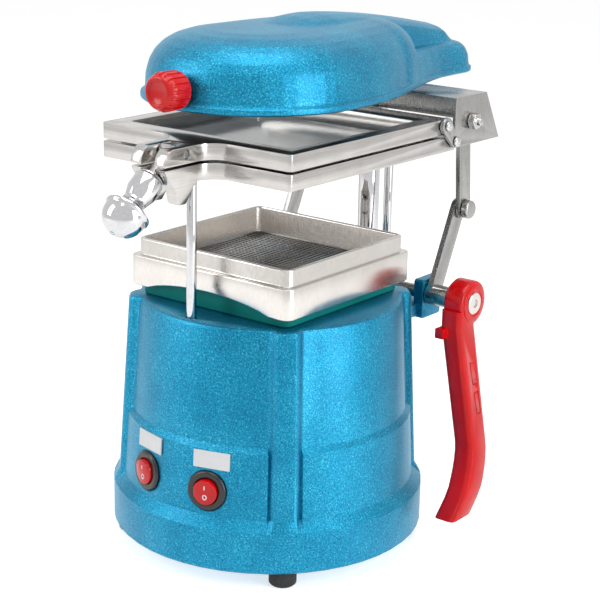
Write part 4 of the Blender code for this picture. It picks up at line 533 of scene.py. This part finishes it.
marks = {"rise": 3.0, "ring": 1.15, "line": 0.36, "bar": 1.3, "level": 56.3, "angle": 15.2}
for which, angle in (("heat", marks["angle"]), ("vacuum", -marks["angle"])):
    node, body = "rocker_" + which, "rocker_" + which + "_body"
    for shift, kind in ((marks["rise"], "Bar"), (-marks["rise"], "Ring")):
        bpy.ops.object.select_all(action="DESELECT")
        if kind == "Ring":
            bpy.ops.mesh.primitive_torus_add(major_radius=marks["ring"] * mm, minor_radius=marks["line"] * mm,
                                             major_segments=24, minor_segments=8)
            piece = bpy.context.object
            piece.scale = (1.0, 1.15, 1.0)
        else:
            bpy.ops.mesh.primitive_cube_add(size=1.0)
            piece = bpy.context.object
            piece.scale = (marks["line"] * 2 * mm, marks["bar"] * 2 * mm, marks["line"] * mm)
        bpy.ops.object.transform_apply(scale=True)
        if kind == "Bar":
            bevelEdges(piece, 0.1 * mm, 2)
        piece.matrix_world = wallFrame(angle, marks["level"] + shift, node)
        finishPiece(piece, "rockerMark" + kind + which.title(), "whiteMark", body)
print("switch plates and marks set")


# A small dished centre in the end of the ball

ballEnd = {"pivot": (2.5, -94.0, 252.5), "along": (0.0, -0.7716, -0.6361), "reach": 58.9, "radius": 1.5}
hang = Vector(ballEnd["along"])
endPlace = spot(*ballEnd["pivot"]) + hang * (ballEnd["reach"] - 0.35) * mm
plug = turned([(ballEnd["radius"] * mm, 0.0), (ballEnd["radius"] * mm, 0.4 * mm),
               ((ballEnd["radius"] - 0.3) * mm, 0.45 * mm), ((ballEnd["radius"] - 0.6) * mm, 0.2 * mm),
               (0.1 * mm, 0.2 * mm)], 24, endPlace, hang)
finishPiece(plug, "ballNutCentre", "dark_steel", "knob")
print("ball nut finished")


# Floor, light and camera

studio = {"floorLift": 0.66, "fillLight": 0.36, "left": 6.3, "right": 6.0, "top": 6.2}


def backgroundRays(tree):
    # 1 for the camera, glossy and transmission rays, which all meet the white background
    path = addNode(tree, "ShaderNodeLightPath")
    first = addNode(tree, "ShaderNodeMath", operation="MAXIMUM")
    tree.links.new(path.outputs["Is Camera Ray"], first.inputs[0])
    tree.links.new(path.outputs["Is Glossy Ray"], first.inputs[1])
    both = addNode(tree, "ShaderNodeMath", operation="MAXIMUM")
    tree.links.new(first.outputs[0], both.inputs[0])
    tree.links.new(path.outputs["Is Transmission Ray"], both.inputs[1])
    return both.outputs[0]


bpy.ops.object.select_all(action="DESELECT")
bpy.ops.mesh.primitive_plane_add(size=6.0, location=(0.0, 0.0, 0.0))
floor = bpy.context.object
floorLook, tree, shader = startMaterial("floorWhite", {"Roughness": 0.9, "Specular IOR Level": 0.0})
paper = noise(tree, objectCoordinates(tree), 6.0)
tree.links.new(ramp(tree, paper, [(0.3, (0.86, 0.86, 0.86)), (0.7, (0.88, 0.88, 0.88))]), shader.inputs["Base Color"])
seen = backgroundRays(tree)
shader.inputs["Emission Color"].default_value = (1.0, 1.0, 1.0, 1.0)
lift = addNode(tree, "ShaderNodeMath", operation="MULTIPLY")
tree.links.new(seen, lift.inputs[0])
lift.inputs[1].default_value = studio["floorLift"]
tree.links.new(lift.outputs[0], shader.inputs["Emission Strength"])
floor.data.materials.append(floorLook)
floor.name = "floor"

world = bpy.data.worlds.new("studio")
bpy.context.scene.world = world
world.use_nodes = True
tree = world.node_tree
sky = tree.nodes["Background"]
sky.inputs["Color"].default_value = (1.0, 1.0, 1.0, 1.0)
strength = addNode(tree, "ShaderNodeMapRange", {"To Min": studio["fillLight"], "To Max": 1.0})
tree.links.new(backgroundRays(tree), strength.inputs["Value"])
tree.links.new(strength.outputs["Result"], sky.inputs["Strength"])


def softbox(name, place, aim, size, power):
    lamp = bpy.data.lights.new(name, "AREA")
    lamp.shape = "RECTANGLE"
    lamp.size, lamp.size_y = size
    lamp.energy = power
    holder = bpy.data.objects.new(name, lamp)
    bpy.context.scene.collection.objects.link(holder)
    holder.location = place
    holder.rotation_euler = (Vector(aim) - Vector(place)).to_track_quat("-Z", "Y").to_euler()


softbox("softboxLeft", (-0.75, -0.95, 0.75), (0.0, 0.0, 0.15), (0.5, 0.9), studio["left"])
softbox("softboxRight", (1.0, 0.02, 0.46), (0.0, 0.0, 0.18), (0.42, 0.85), studio["right"])
softbox("softboxTop", (0.1, -0.1, 1.2), (0.0, 0.0, 0.2), (0.8, 0.8), studio["top"])

# The camera stands at the photograph's angle
view = {"yaw": 37.363, "pitch": 16.452, "roll": 1.3475, "focal": 1650.98, "picture": 600.0, "sensor": 36.0,
        "place": (596.2, -751.9, 430.9)}
yaw, pitch, roll = (math.radians(view[key]) for key in ("yaw", "pitch", "roll"))
back = Vector((math.sin(yaw) * math.cos(pitch), -math.cos(yaw) * math.cos(pitch), math.sin(pitch)))
right = Vector((0.0, 0.0, 1.0)).cross(back).normalized()
up = back.cross(right)
rolledRight = right * math.cos(roll) + up * math.sin(roll)
rolledUp = up * math.cos(roll) - right * math.sin(roll)
lens = bpy.data.cameras.new("camera")
lens.sensor_width = view["sensor"]
lens.lens = view["focal"] * view["sensor"] / view["picture"]
lens.clip_start = 0.05
camera = bpy.data.objects.new("camera", lens)
bpy.context.scene.collection.objects.link(camera)
turn = Matrix((rolledRight, rolledUp, back)).transposed().to_4x4()
camera.matrix_world = Matrix.Translation(spot(*view["place"])) @ turn
bpy.context.scene.camera = camera
bpy.context.scene.view_settings.view_transform = "Standard"
print("stage set")
